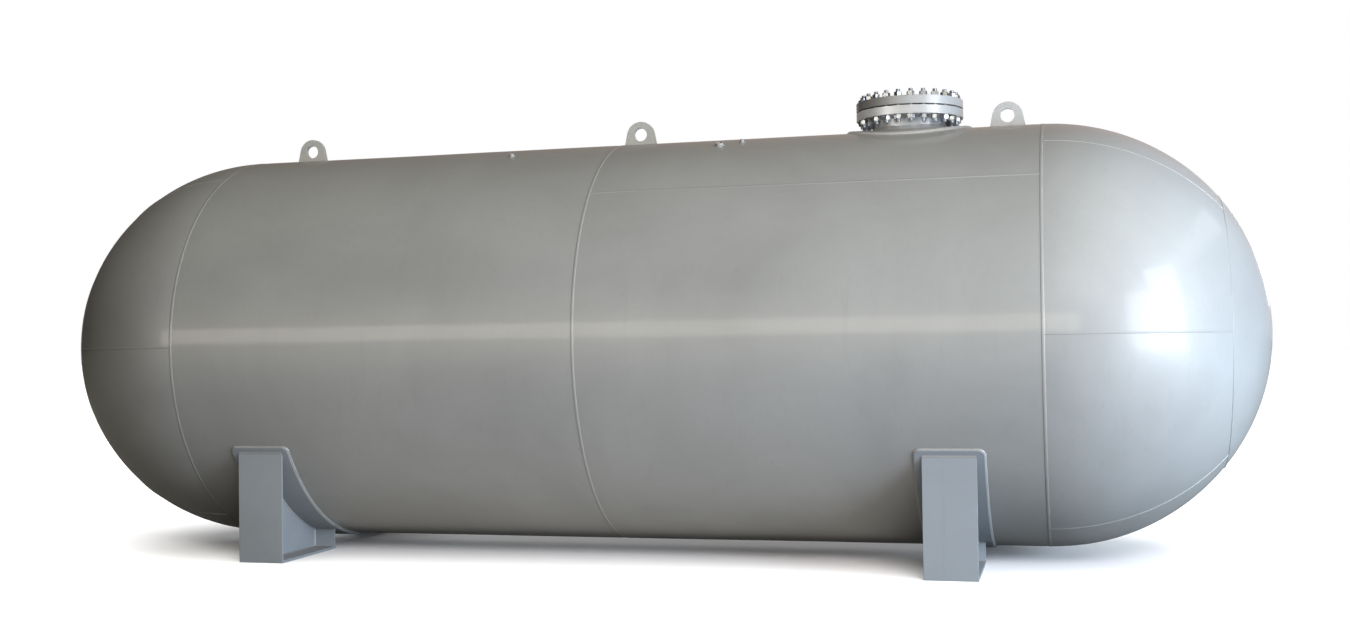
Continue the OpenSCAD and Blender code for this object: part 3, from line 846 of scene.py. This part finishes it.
def stud_geo(x, y, turn):
    """A stud bar, threaded over the length that shows past its nuts, with chamfered ends."""
    z0, z1 = lo - NUT_H - PROUD, c1 + NUT_H + PROUD
    p, d = 0.003175, 0.0017
    prof = [(0, z0), (STUD_R - 0.0035, z0), (STUD_R - d, z0 + 0.0025)]
    z = z0 + 0.0032
    while z < lo - 0.001:
        prof += [(STUD_R, z), (STUD_R - d, z + p / 2)]
        z += p
    prof += [(STUD_R - d * 0.4, z), (STUD_R - d * 0.4, c1 - 0.004)]
    z = c1 + 0.001
    while z < z1 - 0.0032:
        prof += [(STUD_R - d, z), (STUD_R, z + p / 2)]
        z += p
    prof += [(STUD_R - d, z1 - 0.0025), (STUD_R - 0.0035, z1), (0, z1)]
    V, F = lathe(prof, 20)
    # the crests climb by one pitch a turn
    a = np.arctan2(V[:, 1], V[:, 0])
    live = (np.hypot(V[:, 0], V[:, 1]) > 0.001) & (np.abs(V[:, 2] - z0) > 0.003) & (np.abs(V[:, 2] - z1) > 0.003)
    V[:, 2] += np.where(live, p * 0.5 * np.sin(a + turn) * 0.5, 0)
    return V + np.array([x, y, 0]), F


def nut_geo(x, y, z0, turn):
    """A heavy hex nut: flats, both end chamfers, bore with a thread lead-in."""
    n = 48
    a = np.arange(n) * 2 * np.pi / n
    rh = NUT_AF / 2 / np.cos((a + np.pi / 6) % (np.pi / 3) - np.pi / 6)
    rc = NUT_AF / 2 * 0.985
    tb = STUD_R + 0.00006
    dz = (rh - rc) * math.tan(math.radians(30))
    rings = [(np.full(n, tb), np.full(n, 0.002)), (np.full(n, tb + 0.0018), np.zeros(n)), (np.full(n, rc - 0.001), np.zeros(n)), (np.full(n, rc), np.full(n, 0.0006)),
             (rh - 0.0003, dz + 0.0004), (rh, dz + 0.0010), (rh, NUT_H - dz - 0.0010), (rh - 0.0003, NUT_H - dz - 0.0004),
             (np.full(n, rc), np.full(n, NUT_H - 0.0006)), (np.full(n, rc - 0.001), np.full(n, NUT_H)), (np.full(n, tb + 0.0018), np.full(n, NUT_H)), (np.full(n, tb), np.full(n, NUT_H - 0.002))]
    V = np.stack([np.stack([r * np.cos(a + turn), r * np.sin(a + turn), z], -1) for r, z in rings], 0)
    V[..., 0] += x
    V[..., 1] += y
    V[..., 2] += z0
    m = len(rings)
    return V.reshape(-1, 3), quads(m, n, True, True)


V, F = join_geo([stud_geo(x, y, i * 1.3) for i, (x, y) in enumerate(stud_xy)])
make("vis_manway_studs", V, F, M_ZINC, reps=("manway_studs",), angle=50)
V, F = join_geo([nut_geo(x, y, c1, 0.3 + i * 0.47) for i, (x, y) in enumerate(stud_xy)])
make("vis_manway_upper_nuts", V, F, M_ZINC, body="upper_nuts", reps=("manway_upper_nuts",), angle=24)
V, F = join_geo([nut_geo(x, y, lo - NUT_H, 0.8 + i * 0.61) for i, (x, y) in enumerate(stud_xy)])
make("vis_manway_lower_nuts", V, F, M_ZINC, reps=("manway_lower_nuts",), angle=24)


def saddle_curve(r, rad, n=360):
    """Where an upright cylinder of radius r about the manway axis meets the vessel cylinder of radius rad."""
    a = np.arange(n) * 2 * np.pi / n
    y = r * np.sin(a)
    P = np.stack([MX + r * np.cos(a), y, AZ + np.sqrt(rad ** 2 - y ** 2)], -1)
    nrm = np.stack([np.zeros(n), y, np.sqrt(rad ** 2 - y ** 2)], -1) / rad
    rd = np.stack([np.cos(a), np.sin(a), np.zeros(n)], -1)
    tang = rd - nrm * np.sum(rd * nrm, 1, keepdims=True)
    tang /= np.linalg.norm(tang, axis=1, keepdims=True)
    return P, nrm, tang, rd


up = np.array([0.0, 0, 1.0])
P, nrm, tang, rd = saddle_curve(NECK, R + PAD_T)
w1 = fillet_bead(P, up, tang, 0.026, 31.0, True, bulge=-0.10)
P, nrm, tang, rd = saddle_curve(PAD_R, R)
w2 = fillet_bead(P, nrm, tang, 0.0135, 32.0, True, bulge=0.12)
a = np.arange(360) * 2 * np.pi / 360
P = np.stack([MX + NECK * np.cos(a), NECK * np.sin(a), np.full(360, lo)], -1)
rd = np.stack([np.cos(a), np.sin(a), np.zeros(360)], -1)
w3 = fillet_bead(P, rd, -up, 0.011, 33.0, True, bulge=0.05)
V, F = join_geo([w1, w2, w3])
make("vis_manway_welds", V, F, M_MAN, reps=("manway_welds",), angle=60)

# ------------------------------------------------------------------ lifting lugs


def lug_loop():
    zc = LUG_TOP - LUG_R
    b, h = LUG_B, LUG_Z + zc - (AZ + R - 0.020)
    d = math.hypot(b, h)
    an = math.acos(LUG_R / d) + math.atan2(-h, b)
    zb = -(LUG_Z + zc - (AZ + R)) - 0.0006
    # side line from the tangent point down to the base
    tx, tz = LUG_R * math.cos(an), LUG_R * math.sin(an)
    f = (tz - zb) / (tz + h)
    bx = tx + (b - tx) * f
    pts = [(-bx, zb + zc), (bx, zb + zc)]
    n = 40
    for i in range(n + 1):
        q = an + (math.pi - 2 * an) * i / n
        pts.append((LUG_R * math.cos(q), zc + LUG_R * math.sin(q)))
    return pts, bx


outline, LUG_BX = lug_loop()
circle = [(LUG_HOLE * math.cos(-q * 2 * math.pi / 64), LUG_HOLE * math.sin(-q * 2 * math.pi / 64)) for q in range(64)]
for nm, x in zip(("left", "middle", "right"), LUG_X):
    M = Matrix.Translation((x, 0, LUG_Z)) @ Matrix.Rotation(math.pi / 2, 4, "X")
    plate(f"vis_lifting_lug_{nm}", [outline, circle], LUG_T, M, M_LUG_PAINTED_LIGHT, bevel=0.002, reps=(f"lifting_lug_{nm}",), slot="vessel_paint")


def lug_weld(x, seed):
    hw, ht = LUG_BX - 0.001, LUG_T / 2
    pts, d2 = [], []
    cr = 0.002
    for (cx, cy, q0) in ((hw - cr, ht - cr, 0), (-hw + cr, ht - cr, 90), (-hw + cr, -ht + cr, 180), (hw - cr, -ht + cr, 270)):
        for q in (0, 30, 60, 90):
            r = math.radians(q0 + q)
            pts.append((x + cx + cr * math.cos(r), cy + cr * math.sin(r)))
            d2.append((math.cos(r), math.sin(r), 0))
    P = np.array([(px, py, AZ + math.sqrt(R * R - py * py) - 0.0006) for px, py in pts])
    return fillet_bead(P, up, np.array(d2, float), 0.014, seed, True, bulge=0.10)


V, F = join_geo([lug_weld(x, 40 + i) for i, x in enumerate(LUG_X)])
make("vis_lug_welds", V, F, M_WELD, reps=("lug_welds",), angle=60)

# ------------------------------------------------------------------ couplings


def coupling_geo(r, bore, z0, z1, M, pitch=0.0023):
    c = 0.0016
    prof = [(r, z0), (r, z1 - c), (r - c, z1), (bore + 0.0018, z1), (bore + 0.0002, z1 - 0.0016)]
    z = z1 - 0.0028
    while z > z0 + 0.012:
        prof += [(bore + 0.0012, z), (bore, z - pitch / 2)]
        z -= pitch
    prof += [(bore, z0)]
    return lathe(prof, 64, (0, 0, 0), M)


extra = []
for i, (nm, (x, tilt, r, bore)) in enumerate(COUPLINGS.items()):
    M = on_shell(x, tilt)
    V, F = coupling_geo(r, bore, R - SHELL_T - 0.004, R + 0.024, M)
    make("vis_" + nm, V, F, M_CPL_PAINTED_HIGHLIGHT, reps=(nm,), angle=30)
    extra.append((M, r, 50 + i))
M = on_shell(DRAIN[0], DRAIN[1])
V, F = coupling_geo(DRAIN[2], DRAIN[3], R - SHELL_T - 0.004, R + 0.026, M)
make("vis_drain_coupling", V, F, M_CPL_PAINTED_HIGHLIGHT, reps=("drain_coupling",), angle=30)
extra.append((M, DRAIN[2], 59))


def ring_weld(M, r, seed, leg=0.009):
    """Fillet round a fitting that stands square on the shell."""
    n = 72
    a = np.arange(n) * 2 * np.pi / n
    P = np.stack([r * np.cos(a), r * np.sin(a), np.sqrt((R - 0.0005) ** 2 - (r * np.sin(a)) ** 2)], -1)
    rot = np.array(M)[:3, :3]
    d2 = np.stack([np.cos(a), np.sin(a), -np.sin(a) ** 2 * r / R], -1) @ rot.T
    return fillet_bead(P @ rot.T + np.array(M)[:3, 3], rot[:, 2], d2, leg, seed, True, bulge=0.1, pitch=0.008)


V, F = join_geo([ring_weld(M, r, s) for M, r, s in extra])
make("vis_coupling_welds", V, F, M_WELD, angle=60)

# Drain plug: hexagon head with a chamfered top and a threaded shank
M = on_shell(DRAIN[0], DRAIN[1])
n = 48
a = np.arange(n) * 2 * np.pi / n
rh = 0.0135 / np.cos((a + np.pi / 6) % (np.pi / 3) - np.pi / 6)
rc = 0.0133
zb = R + 0.026 + 0.0004
dz = (rh - rc) * math.tan(math.radians(30))
full = lambda v: np.full(n, v)
rings = []
z = R + 0.001
while z < R + 0.0255:
    rings += [(full(DRAIN[3] - 0.0012), full(z)), (full(DRAIN[3] - 0.0001), full(z + 0.00115))]
    z += 0.0023
rings += [(full(DRAIN[3] - 0.0015), full(zb)), (full(rc), full(zb + 0.0001)), (rh, zb + 0.0004 + dz * 0), (rh, zb + 0.013 - dz - 0.0004), (full(rc), full(zb + 0.0128)), (full(rc - 0.002), full(zb + 0.013))]
V = np.stack([np.stack([r * np.cos(a), r * np.sin(a), z_], -1) for r, z_ in rings], 0)
m = len(rings)
V = V.reshape(-1, 3)
F = [quads(m, n, False, True)]
V = np.vstack([V, [[0, 0, R + 0.001], [0, 0, zb + 0.0125]]])
first = np.arange(n)
last = first + (m - 1) * n
F.append(np.stack([np.full(n, m * n), first, np.roll(first, -1)], -1))
F.append(np.stack([np.full(n, m * n + 1), np.roll(last, -1), last], -1))
rot = np.array(M)
V = V @ rot[:3, :3].T + rot[:3, 3]
make("vis_drain_plug", V, F, M_ZINC, body="drain_plug", reps=("drain_plug",), angle=24)

# ------------------------------------------------------------------ saddles


def wear_extent(d):
    """Half-width of the wear plate at a distance d from its end."""
    d = np.asarray(d, float)
    e = np.clip(WEAR_C - d, 0, WEAR_C)
    return WEAR_W / 2 - (WEAR_C - np.sqrt(WEAR_C ** 2 - e ** 2))


def wear_plate(side):
    L = RW * WEAR_A
    c = WEAR_C * (1 - np.cos(np.linspace(0, math.pi / 2, 12)))
    d = np.concatenate([c, np.linspace(WEAR_C, L, 60)[1:]])
    s = np.concatenate([L - d, -(L - d)[::-1][1:]])
    d_all = L - np.abs(s)
    xs = np.concatenate([[-1, -0.99], np.linspace(-0.9, 0.9, 9), [0.99, 1]])
    S, U = np.meshgrid(s, xs, indexing="ij")
    D, _ = np.meshgrid(d_all, xs, indexing="ij")
    X = side * SX + wear_extent(D) * U
    A = -np.pi / 2 + S / RW
    edge = (np.abs(U) > 0.995) | (D < 1e-6)
    o = ring_dir(A) * (RW - np.where(edge, 0.0015, 0.0))[..., None]
    o[..., 0] = X
    o[..., 2] += AZ
    i = ring_dir(A) * (R - 0.0008)
    i[..., 0] = X
    i[..., 2] += AZ
    V, F = slab(o, i)
    nm = ("left" if side < 0 else "right") + "_saddle_wear_plate"
    make("vis_" + nm, V, F, M_SAD, reps=(nm,), angle=32)
    # the weld all round it
    a_end = WEAR_A
    pts, out2 = [], []
    half = []
    for dd in np.concatenate([WEAR_C * (1 - np.cos(np.linspace(0, math.pi / 2, 10))), np.linspace(WEAR_C, 2 * L - WEAR_C, 200)[1:-1],
                              (2 * L - WEAR_C * (1 - np.cos(np.linspace(math.pi / 2, 0, 10))))]):
        e = min(dd, 2 * L - dd)
        half.append((float(wear_extent(e)), dd - L))
    loop = [(w, s_) for w, s_ in half] + [(-w, s_) for w, s_ in half[::-1]]
    P = []
    for w, s_ in loop:
        q = -math.pi / 2 + s_ / RW
        v = ring_dir(np.array([q]))[0] * (R - 0.0006)
        v[0] = side * SX + w
        v[2] += AZ
        P.append(v)
    P = np.array(P)
    keep = [0]
    for k in range(1, len(P)):
        if np.linalg.norm(P[k] - P[keep[-1]]) > 1e-5:
            keep.append(k)
    P = P[keep]
    nrm = P - np.array([0, 0, AZ])
    nrm[:, 0] = 0
    nrm /= np.linalg.norm(nrm, axis=1, keepdims=True)
    T = np.roll(P, -1, 0) - np.roll(P, 1, 0)
    T /= np.linalg.norm(T, axis=1, keepdims=True)
    O = np.cross(T, nrm)
    c0_ = np.array([side * SX, 0, AZ - R])
    # outward is away from the plate's middle line
    mid = P.copy()
    sgn = np.sign(np.sum(O * (P - np.array([side * SX, 0, 0])) * np.array([1, 0, 0]), 1))
    if np.median(sgn) < 0:
        O = -O
    return fillet_bead(P, nrm, O, 0.0115, 60.0 + side, True, bulge=0.26)


def arc_yz(y0, y1, rad, n=48):
    """Points (y, z) under the vessel from y0 to y1 on radius rad."""
    ys = np.linspace(y0, y1, n)
    return [(y, AZ - math.sqrt(rad * rad - y * y)) for y in ys]


YZ = Matrix(((0, 0, 1, 0), (1, 0, 0, 0), (0, 1, 0, 0), (0, 0, 0, 1)))  # plate plane (y, z), thickness along X
all_fillets = []


def foot(side, fb):
    pre = ("left" if side < 0 else "right") + ("_near" if fb < 0 else "_far")
    x = side * SX
    yo, ye, yi, yr = fb * Y_OUT, fb * (Y_OUT - END_T), fb * Y_IN, fb * (Y_IN + WEB_T)
    Mx = Matrix.Translation((x, 0, 0)) @ YZ
    top = arc_yz(yo, ye, RW + 0.0004, 8)
    plate(f"vis_{pre}_end_plate", [[(ye, 0.0), (yo, 0.0)] + top], FOOT_W, Mx, M_SAD, reps=(pre + "_end_plate",), slot="saddle_paint", bevel=0.0015)
    top = arc_yz(ye, yr, RW + 0.0004, 60)
    plate(f"vis_{pre}_web", [[(yr, BASE_T), (ye, BASE_T)] + top], WEB_T, Mx, M_SAD, reps=(pre + "_web",), slot="saddle_paint", bevel=0.0)
    top = arc_yz(yr, yi, RW + 0.0004, 6)
    plate(f"vis_{pre}_rib", [[(yi, BASE_T), (yr, BASE_T)] + top], FOOT_W, Mx, M_SAD, reps=(pre + "_rib",), slot="saddle_paint", bevel=0.0015)
    # base plate with its anchor holes
    hw = FOOT_W / 2
    y_a, y_b = min(ye, yi), max(ye, yi)
    outer = [(x - hw, y_a), (x + hw, y_a), (x + hw, y_b), (x - hw, y_b)]
    loops = [outer]
    for e in (-1, 1):
        cx, cy, r = x + e * 0.11, fb * 0.9, 0.018
        half = 0.015 if side > 0 else 0.0
        lp = []
        for q in range(48):
            an = -q * 2 * math.pi / 48
            sx = half * (1 if math.cos(an) > 1e-9 else -1 if math.cos(an) < -1e-9 else 0)
            lp.append((cx + sx + r * math.cos(an), cy + r * math.sin(an)))
        loops.append(lp)
    plate(f"vis_{pre}_base_plate", loops, BASE_T, Matrix.Translation((0, 0, BASE_T / 2)), M_SAD, reps=(pre + "_base_plate",), slot="saddle_paint", bevel=0.0012)

    # fillet welds between the plates
    s = 80 + side * 7 + fb * 3
    ydir = np.array([0, -fb * 1.0, 0])
    out = []

    def line(p, q, d1, d2, leg, k):
        out.append(fillet_bead(np.array([p, q], float), np.array(d1, float), np.array(d2, float), leg, s + k, False, bulge=0.08))

    zt_o = AZ - math.sqrt(RW ** 2 - Y_OUT ** 2)
    nrm_o = np.array([0, yo, -math.sqrt(RW ** 2 - Y_OUT ** 2)]) / RW
    tan_o = np.array([0, fb * math.sqrt(RW ** 2 - Y_OUT ** 2), Y_OUT]) / RW
    # end plate's outer face to the wear plate
    line((x - hw + 0.004, yo, zt_o), (x + hw - 0.004, yo, zt_o), (0, 0, -1), tan_o, 0.009, 1)
    for e in (-1, 1):
        xe = x + e * WEB_T / 2
        # web to the wear plate, both faces
        pts = np.array([(xe, y, z) for y, z in arc_yz(ye - fb * 0.010, yr + fb * 0.010, RW, 60)])
        nr = np.stack([np.zeros(60), pts[:, 1], pts[:, 2] - AZ], -1)
        nr /= np.linalg.norm(nr, axis=1, keepdims=True)
        out.append(fillet_bead(pts, nr, np.array([e, 0, 0.0]), 0.008, s + 2 + e, False, bulge=0.08))
        # web to the base plate, to the end plate and to the rib
        line((xe, ye - fb * 0.006, BASE_T), (xe, yr + fb * 0.006, BASE_T), (0, 0, 1), (e, 0, 0), 0.008, 5 + e)
        zt_e = AZ - math.sqrt(RW ** 2 - (Y_OUT - END_T) ** 2)
        line((xe, ye, BASE_T + 0.004), (xe, ye, zt_e - 0.004), (0, -fb, 0), (e, 0, 0), 0.008, 8 + e)
        zt_r = AZ - math.sqrt(RW ** 2 - (Y_IN + WEB_T) ** 2)
        line((xe, yr, BASE_T + 0.004), (xe, yr, zt_r - 0.004), (0, fb, 0), (e, 0, 0), 0.008, 11 + e)
        # end plate and rib to the base plate
        x0, x1 = (xe + e * 0.004, x + e * (hw - 0.003))
        line((x0, ye, BASE_T), (x1, ye, BASE_T), (0, 0, 1), (0, -fb, 0), 0.008, 14 + e)
        line((x0, yr, BASE_T), (x1, yr, BASE_T), (0, 0, 1), (0, fb, 0), 0.007, 17 + e)
        # rib to the wear plate, and end plate's inner face to it
        nrm_r = np.array([0, yr, -math.sqrt(RW ** 2 - yr ** 2)]) / RW
        tan_r = np.array([0, fb * math.sqrt(RW ** 2 - yr ** 2), abs(yr)]) / RW
        line((x0, yr, zt_r), (x1, yr, zt_r), (0, 0, -1), tan_r, 0.008, 20 + e)
        nrm_e = np.array([0, ye, -math.sqrt(RW ** 2 - ye ** 2)]) / RW
        tan_e = np.array([0, -fb * math.sqrt(RW ** 2 - ye ** 2), -abs(ye)]) / RW
        line((x0, ye, zt_e), (x1, ye, zt_e), (0, 0, -1), tan_e, 0.008, 23 + e)
    all_fillets.extend(out)


for sd in (-1, 1):
    all_fillets.append(wear_plate(sd))
    for fb in (-1, 1):
        foot(sd, fb)
V, F = join_geo(all_fillets)
make("vis_saddle_welds", V, F, M_WELD, angle=60)

# ------------------------------------------------------------------ stage, light and camera

fm, nt, b, co = new_mat("floor")
fine = noise(nt, co, 0.7, 4, 0.5)
nt.links.new(ramp(nt, fine, [(0.3, (0.86, 0.86, 0.86)), (0.7, (0.90, 0.90, 0.90))]), b.inputs["Base Color"])
b.inputs["Roughness"].default_value = 0.9
b.inputs["Specular IOR Level"].default_value = 0.1
me = bpy.data.meshes.new("floor")
me.from_pydata([(-150, -150, 0), (150, -150, 0), (150, 150, 0), (-150, 150, 0)], [], [(0, 1, 2, 3)])
me.materials.append(fm)
floor = bpy.data.objects.new("floor", me)
bpy.context.scene.collection.objects.link(floor)
floor.visible_glossy = False
floor.visible_diffuse = False
floor.visible_shadow = False
# the darker ground that throws light back up at the vessel, just under the pale floor
gm, nt, b, co = new_mat("ground")
fine = noise(nt, co, 0.9, 5, 0.6)
nt.links.new(ramp(nt, fine, [(0.3, (0.17, 0.165, 0.155)), (0.7, (0.21, 0.205, 0.195))]), b.inputs["Base Color"])
b.inputs["Roughness"].default_value = 0.95
me = bpy.data.meshes.new("ground")
me.from_pydata([(-150, -150, -0.003), (150, -150, -0.003), (150, 150, -0.003), (-150, 150, -0.003)], [], [(0, 1, 2, 3)])
me.materials.append(gm)
ground = bpy.data.objects.new("ground", me)
bpy.context.scene.collection.objects.link(ground)
ground.visible_camera = False

# ---- studio lights start
world = bpy.data.worlds.new("studio")
bpy.context.scene.world = world
world.use_nodes = True
nt = world.node_tree
nt.nodes.clear()
wout = node(nt, "ShaderNodeOutputWorld")
direction = node(nt, "ShaderNodeTexCoord").outputs["Generated"]


def glow(az, el, tight, colour):
    """A soft lobe of light from one direction, in degrees."""
    az, el = math.radians(az), math.radians(el)
    d = node(nt, "ShaderNodeVectorMath", operation="DOT_PRODUCT")
    nt.links.new(direction, d.inputs[0])
    d.inputs[1].default_value = (math.cos(el) * math.cos(az), math.cos(el) * math.sin(az), math.sin(el))
    e = maths(nt, "EXPONENT", maths(nt, "MULTIPLY", maths(nt, "SUBTRACT", d.outputs["Value"], 1.0), tight))
    v = node(nt, "ShaderNodeVectorMath", operation="SCALE")
    v.inputs[0].default_value = colour
    nt.links.new(e, v.inputs["Scale"])
    return v.outputs[0]


total = None
for args in (
    (-45, 48, 4, (0.96, 0.88, 0.56)),     # warm light from above the viewer's right shoulder
    (0, 90, 4, (0.12, 0.16, 0.20)),       # cool light straight from above
    (85, 8, 6, (0.62, 0.48, 0.44)),       # low light behind the vessel, which edges the right head
):
    g_ = glow(*args)
    if total is None:
        total = g_
    else:
        ad = node(nt, "ShaderNodeVectorMath", operation="ADD")
        nt.links.new(total, ad.inputs[0])
        nt.links.new(g_, ad.inputs[1])
        total = ad.outputs[0]
bg_env = node(nt, "ShaderNodeBackground")
nt.links.new(total, bg_env.inputs["Color"])
bg_cam = node(nt, "ShaderNodeBackground")
bg_cam.inputs["Color"].default_value = (1, 1, 1, 1)
lp = node(nt, "ShaderNodeLightPath")
ms = node(nt, "ShaderNodeMixShader")
nt.links.new(lp.outputs["Is Camera Ray"], ms.inputs[0])
nt.links.new(bg_env.outputs[0], ms.inputs[1])
nt.links.new(bg_cam.outputs[0], ms.inputs[2])
nt.links.new(ms.outputs[0], wout.inputs[0])


def area(name, loc, target, sx_, sy_, power, color, glossy=True, diffuse=True):
    ld = bpy.data.lights.new(name, "AREA")
    ld.shape = "RECTANGLE"
    ld.size, ld.size_y = sx_, sy_
    ld.energy = power
    ld.color = color
    lo_ = bpy.data.objects.new(name, ld)
    bpy.context.scene.collection.objects.link(lo_)
    lo_.location = loc
    d = Vector(target) - Vector(loc)
    lo_.rotation_euler = d.to_track_quat("-Z", "Y").to_euler()
    lo_.visible_camera = False
    lo_.visible_glossy = glossy
    lo_.visible_diffuse = diffuse
    return lo_


# a long row of openings opposite the vessel, which draws the warm line along its side
area("row", (-7.5, -30, 4.9), (-7.5, 0, 1.9), 39, 4.4, 2180, (1.0, 0.93, 0.77), diffuse=False)
# the tall daylight opening to the right front, narrower at its top, and the sunlit sill before it
area("gate_low", (13.9, -7.7, 2.95), (3.8, -1.3, 1.9), 7.3, 5.8, 650, (0.98, 0.97, 1.0))
area("gate_high", (14.8, -6.3, 7.1), (3.8, -1.3, 1.9), 4.2, 2.6, 270, (0.67, 0.76, 1.0))
area("gate_sill", (12.4, -6.05, 0.05), (12.23, -5.95, 1.05), 6.2, 4.4, 400, (1.0, 0.98, 0.95), diffuse=False)
# a strip of sky over it, and the cool low light that comes in with it
area("sky_strip", (13.9, 1.1, 8.4), (3.9, -1.0, 2.1), 13, 1.8, 110, (0.84, 0.92, 1.0), diffuse=False)
area("right_low", (12, -4, 1.6), (3.5, 0, 1.3), 9, 3, 2430, (0.61, 0.79, 1.0), glossy=False)
# broad soft light from the front right and above
area("key", (7, -13, 8), (2, 0, 1.5), 8, 5, 1740, (1.0, 0.947, 1.0), glossy=False)
# the hall behind: a broad fill and a row of openings, which the front doesn't see
area("back_fill", (-5, 15, 3.6), (0, 0, 1.6), 14, 6, 2700, (0.95, 0.97, 1.0), glossy=False)
area("back_row", (-2, 30, 4.6), (0, 0, 1.9), 36, 3, 1300, (1.0, 0.95, 0.85), diffuse=False)
# a low light from the left that reaches the neck under its flange
neck_fill = area("neck_fill", (-6.5, -9.5, 2.6), (2, 0, 3.1), 6, 3, 1100, (1.0, 0.99, 0.97))
takes = bpy.data.collections.new("neck_fill_takes")
for nm in ("vis_manway_neck", "vis_manway_flange", "vis_manway_welds"):
    takes.objects.link(bpy.data.objects[nm])
neck_fill.light_linking.receiver_collection = takes
# bright ground between the saddles
area("ground_glow", (-0.1, -1.55, 0.02), (-0.1, -1.55, 3), 4.3, 1.9, 16, (1.0, 0.94, 0.88), glossy=False)


def wash(name, strength, angle, shadow):
    """Light that only the floor takes, so that it stays pale to the horizon."""
    ld = bpy.data.lights.new(name, "SUN")
    ld.energy = strength
    ld.angle = math.radians(angle)
    ld.use_shadow = shadow
    lo_ = bpy.data.objects.new(name, ld)
    bpy.context.scene.collection.objects.link(lo_)
    lo_.rotation_euler = (math.radians(8), math.radians(-6), 0)
    only = bpy.data.collections.new(name + "_takes")
    only.objects.link(floor)
    lo_.light_linking.receiver_collection = only


wash("floor_wash", 2.6, 80, True)
wash("floor_base", 1.3, 80, False)
# ---- studio lights end

# camera at the solved viewpoint
cam_d = bpy.data.cameras.new("camera")
cam = bpy.data.objects.new("camera", cam_d)
bpy.context.scene.collection.objects.link(cam)
yaw, pitch, roll = 0.2620, 0.0201, 0.0148
C = Vector((0.1191 * R + TX, -7.3029 * R, AZ - 0.0226 * R))
Rm = Matrix.Rotation(yaw, 3, "Z") @ Matrix.Rotation(pitch, 3, "X") @ Matrix.Rotation(roll, 3, "Y")
rt, fw, upv = Rm.col[0], Rm.col[1], Rm.col[2]
M4 = Matrix(((rt[0], upv[0], -fw[0], C[0]), (rt[1], upv[1], -fw[1], C[1]), (rt[2], upv[2], -fw[2], C[2]), (0, 0, 0, 1)))
cam.matrix_world = M4
cam_d.sensor_width = 36.0
cam_d.sensor_fit = "HORIZONTAL"
cam_d.lens = 1482.22 * 36.0 / 1350.0
cam_d.clip_end = 500.0
bpy.context.scene.camera = cam
bpy.context.scene.view_settings.view_transform = "Standard"
bpy.context.scene.view_settings.look = "None"
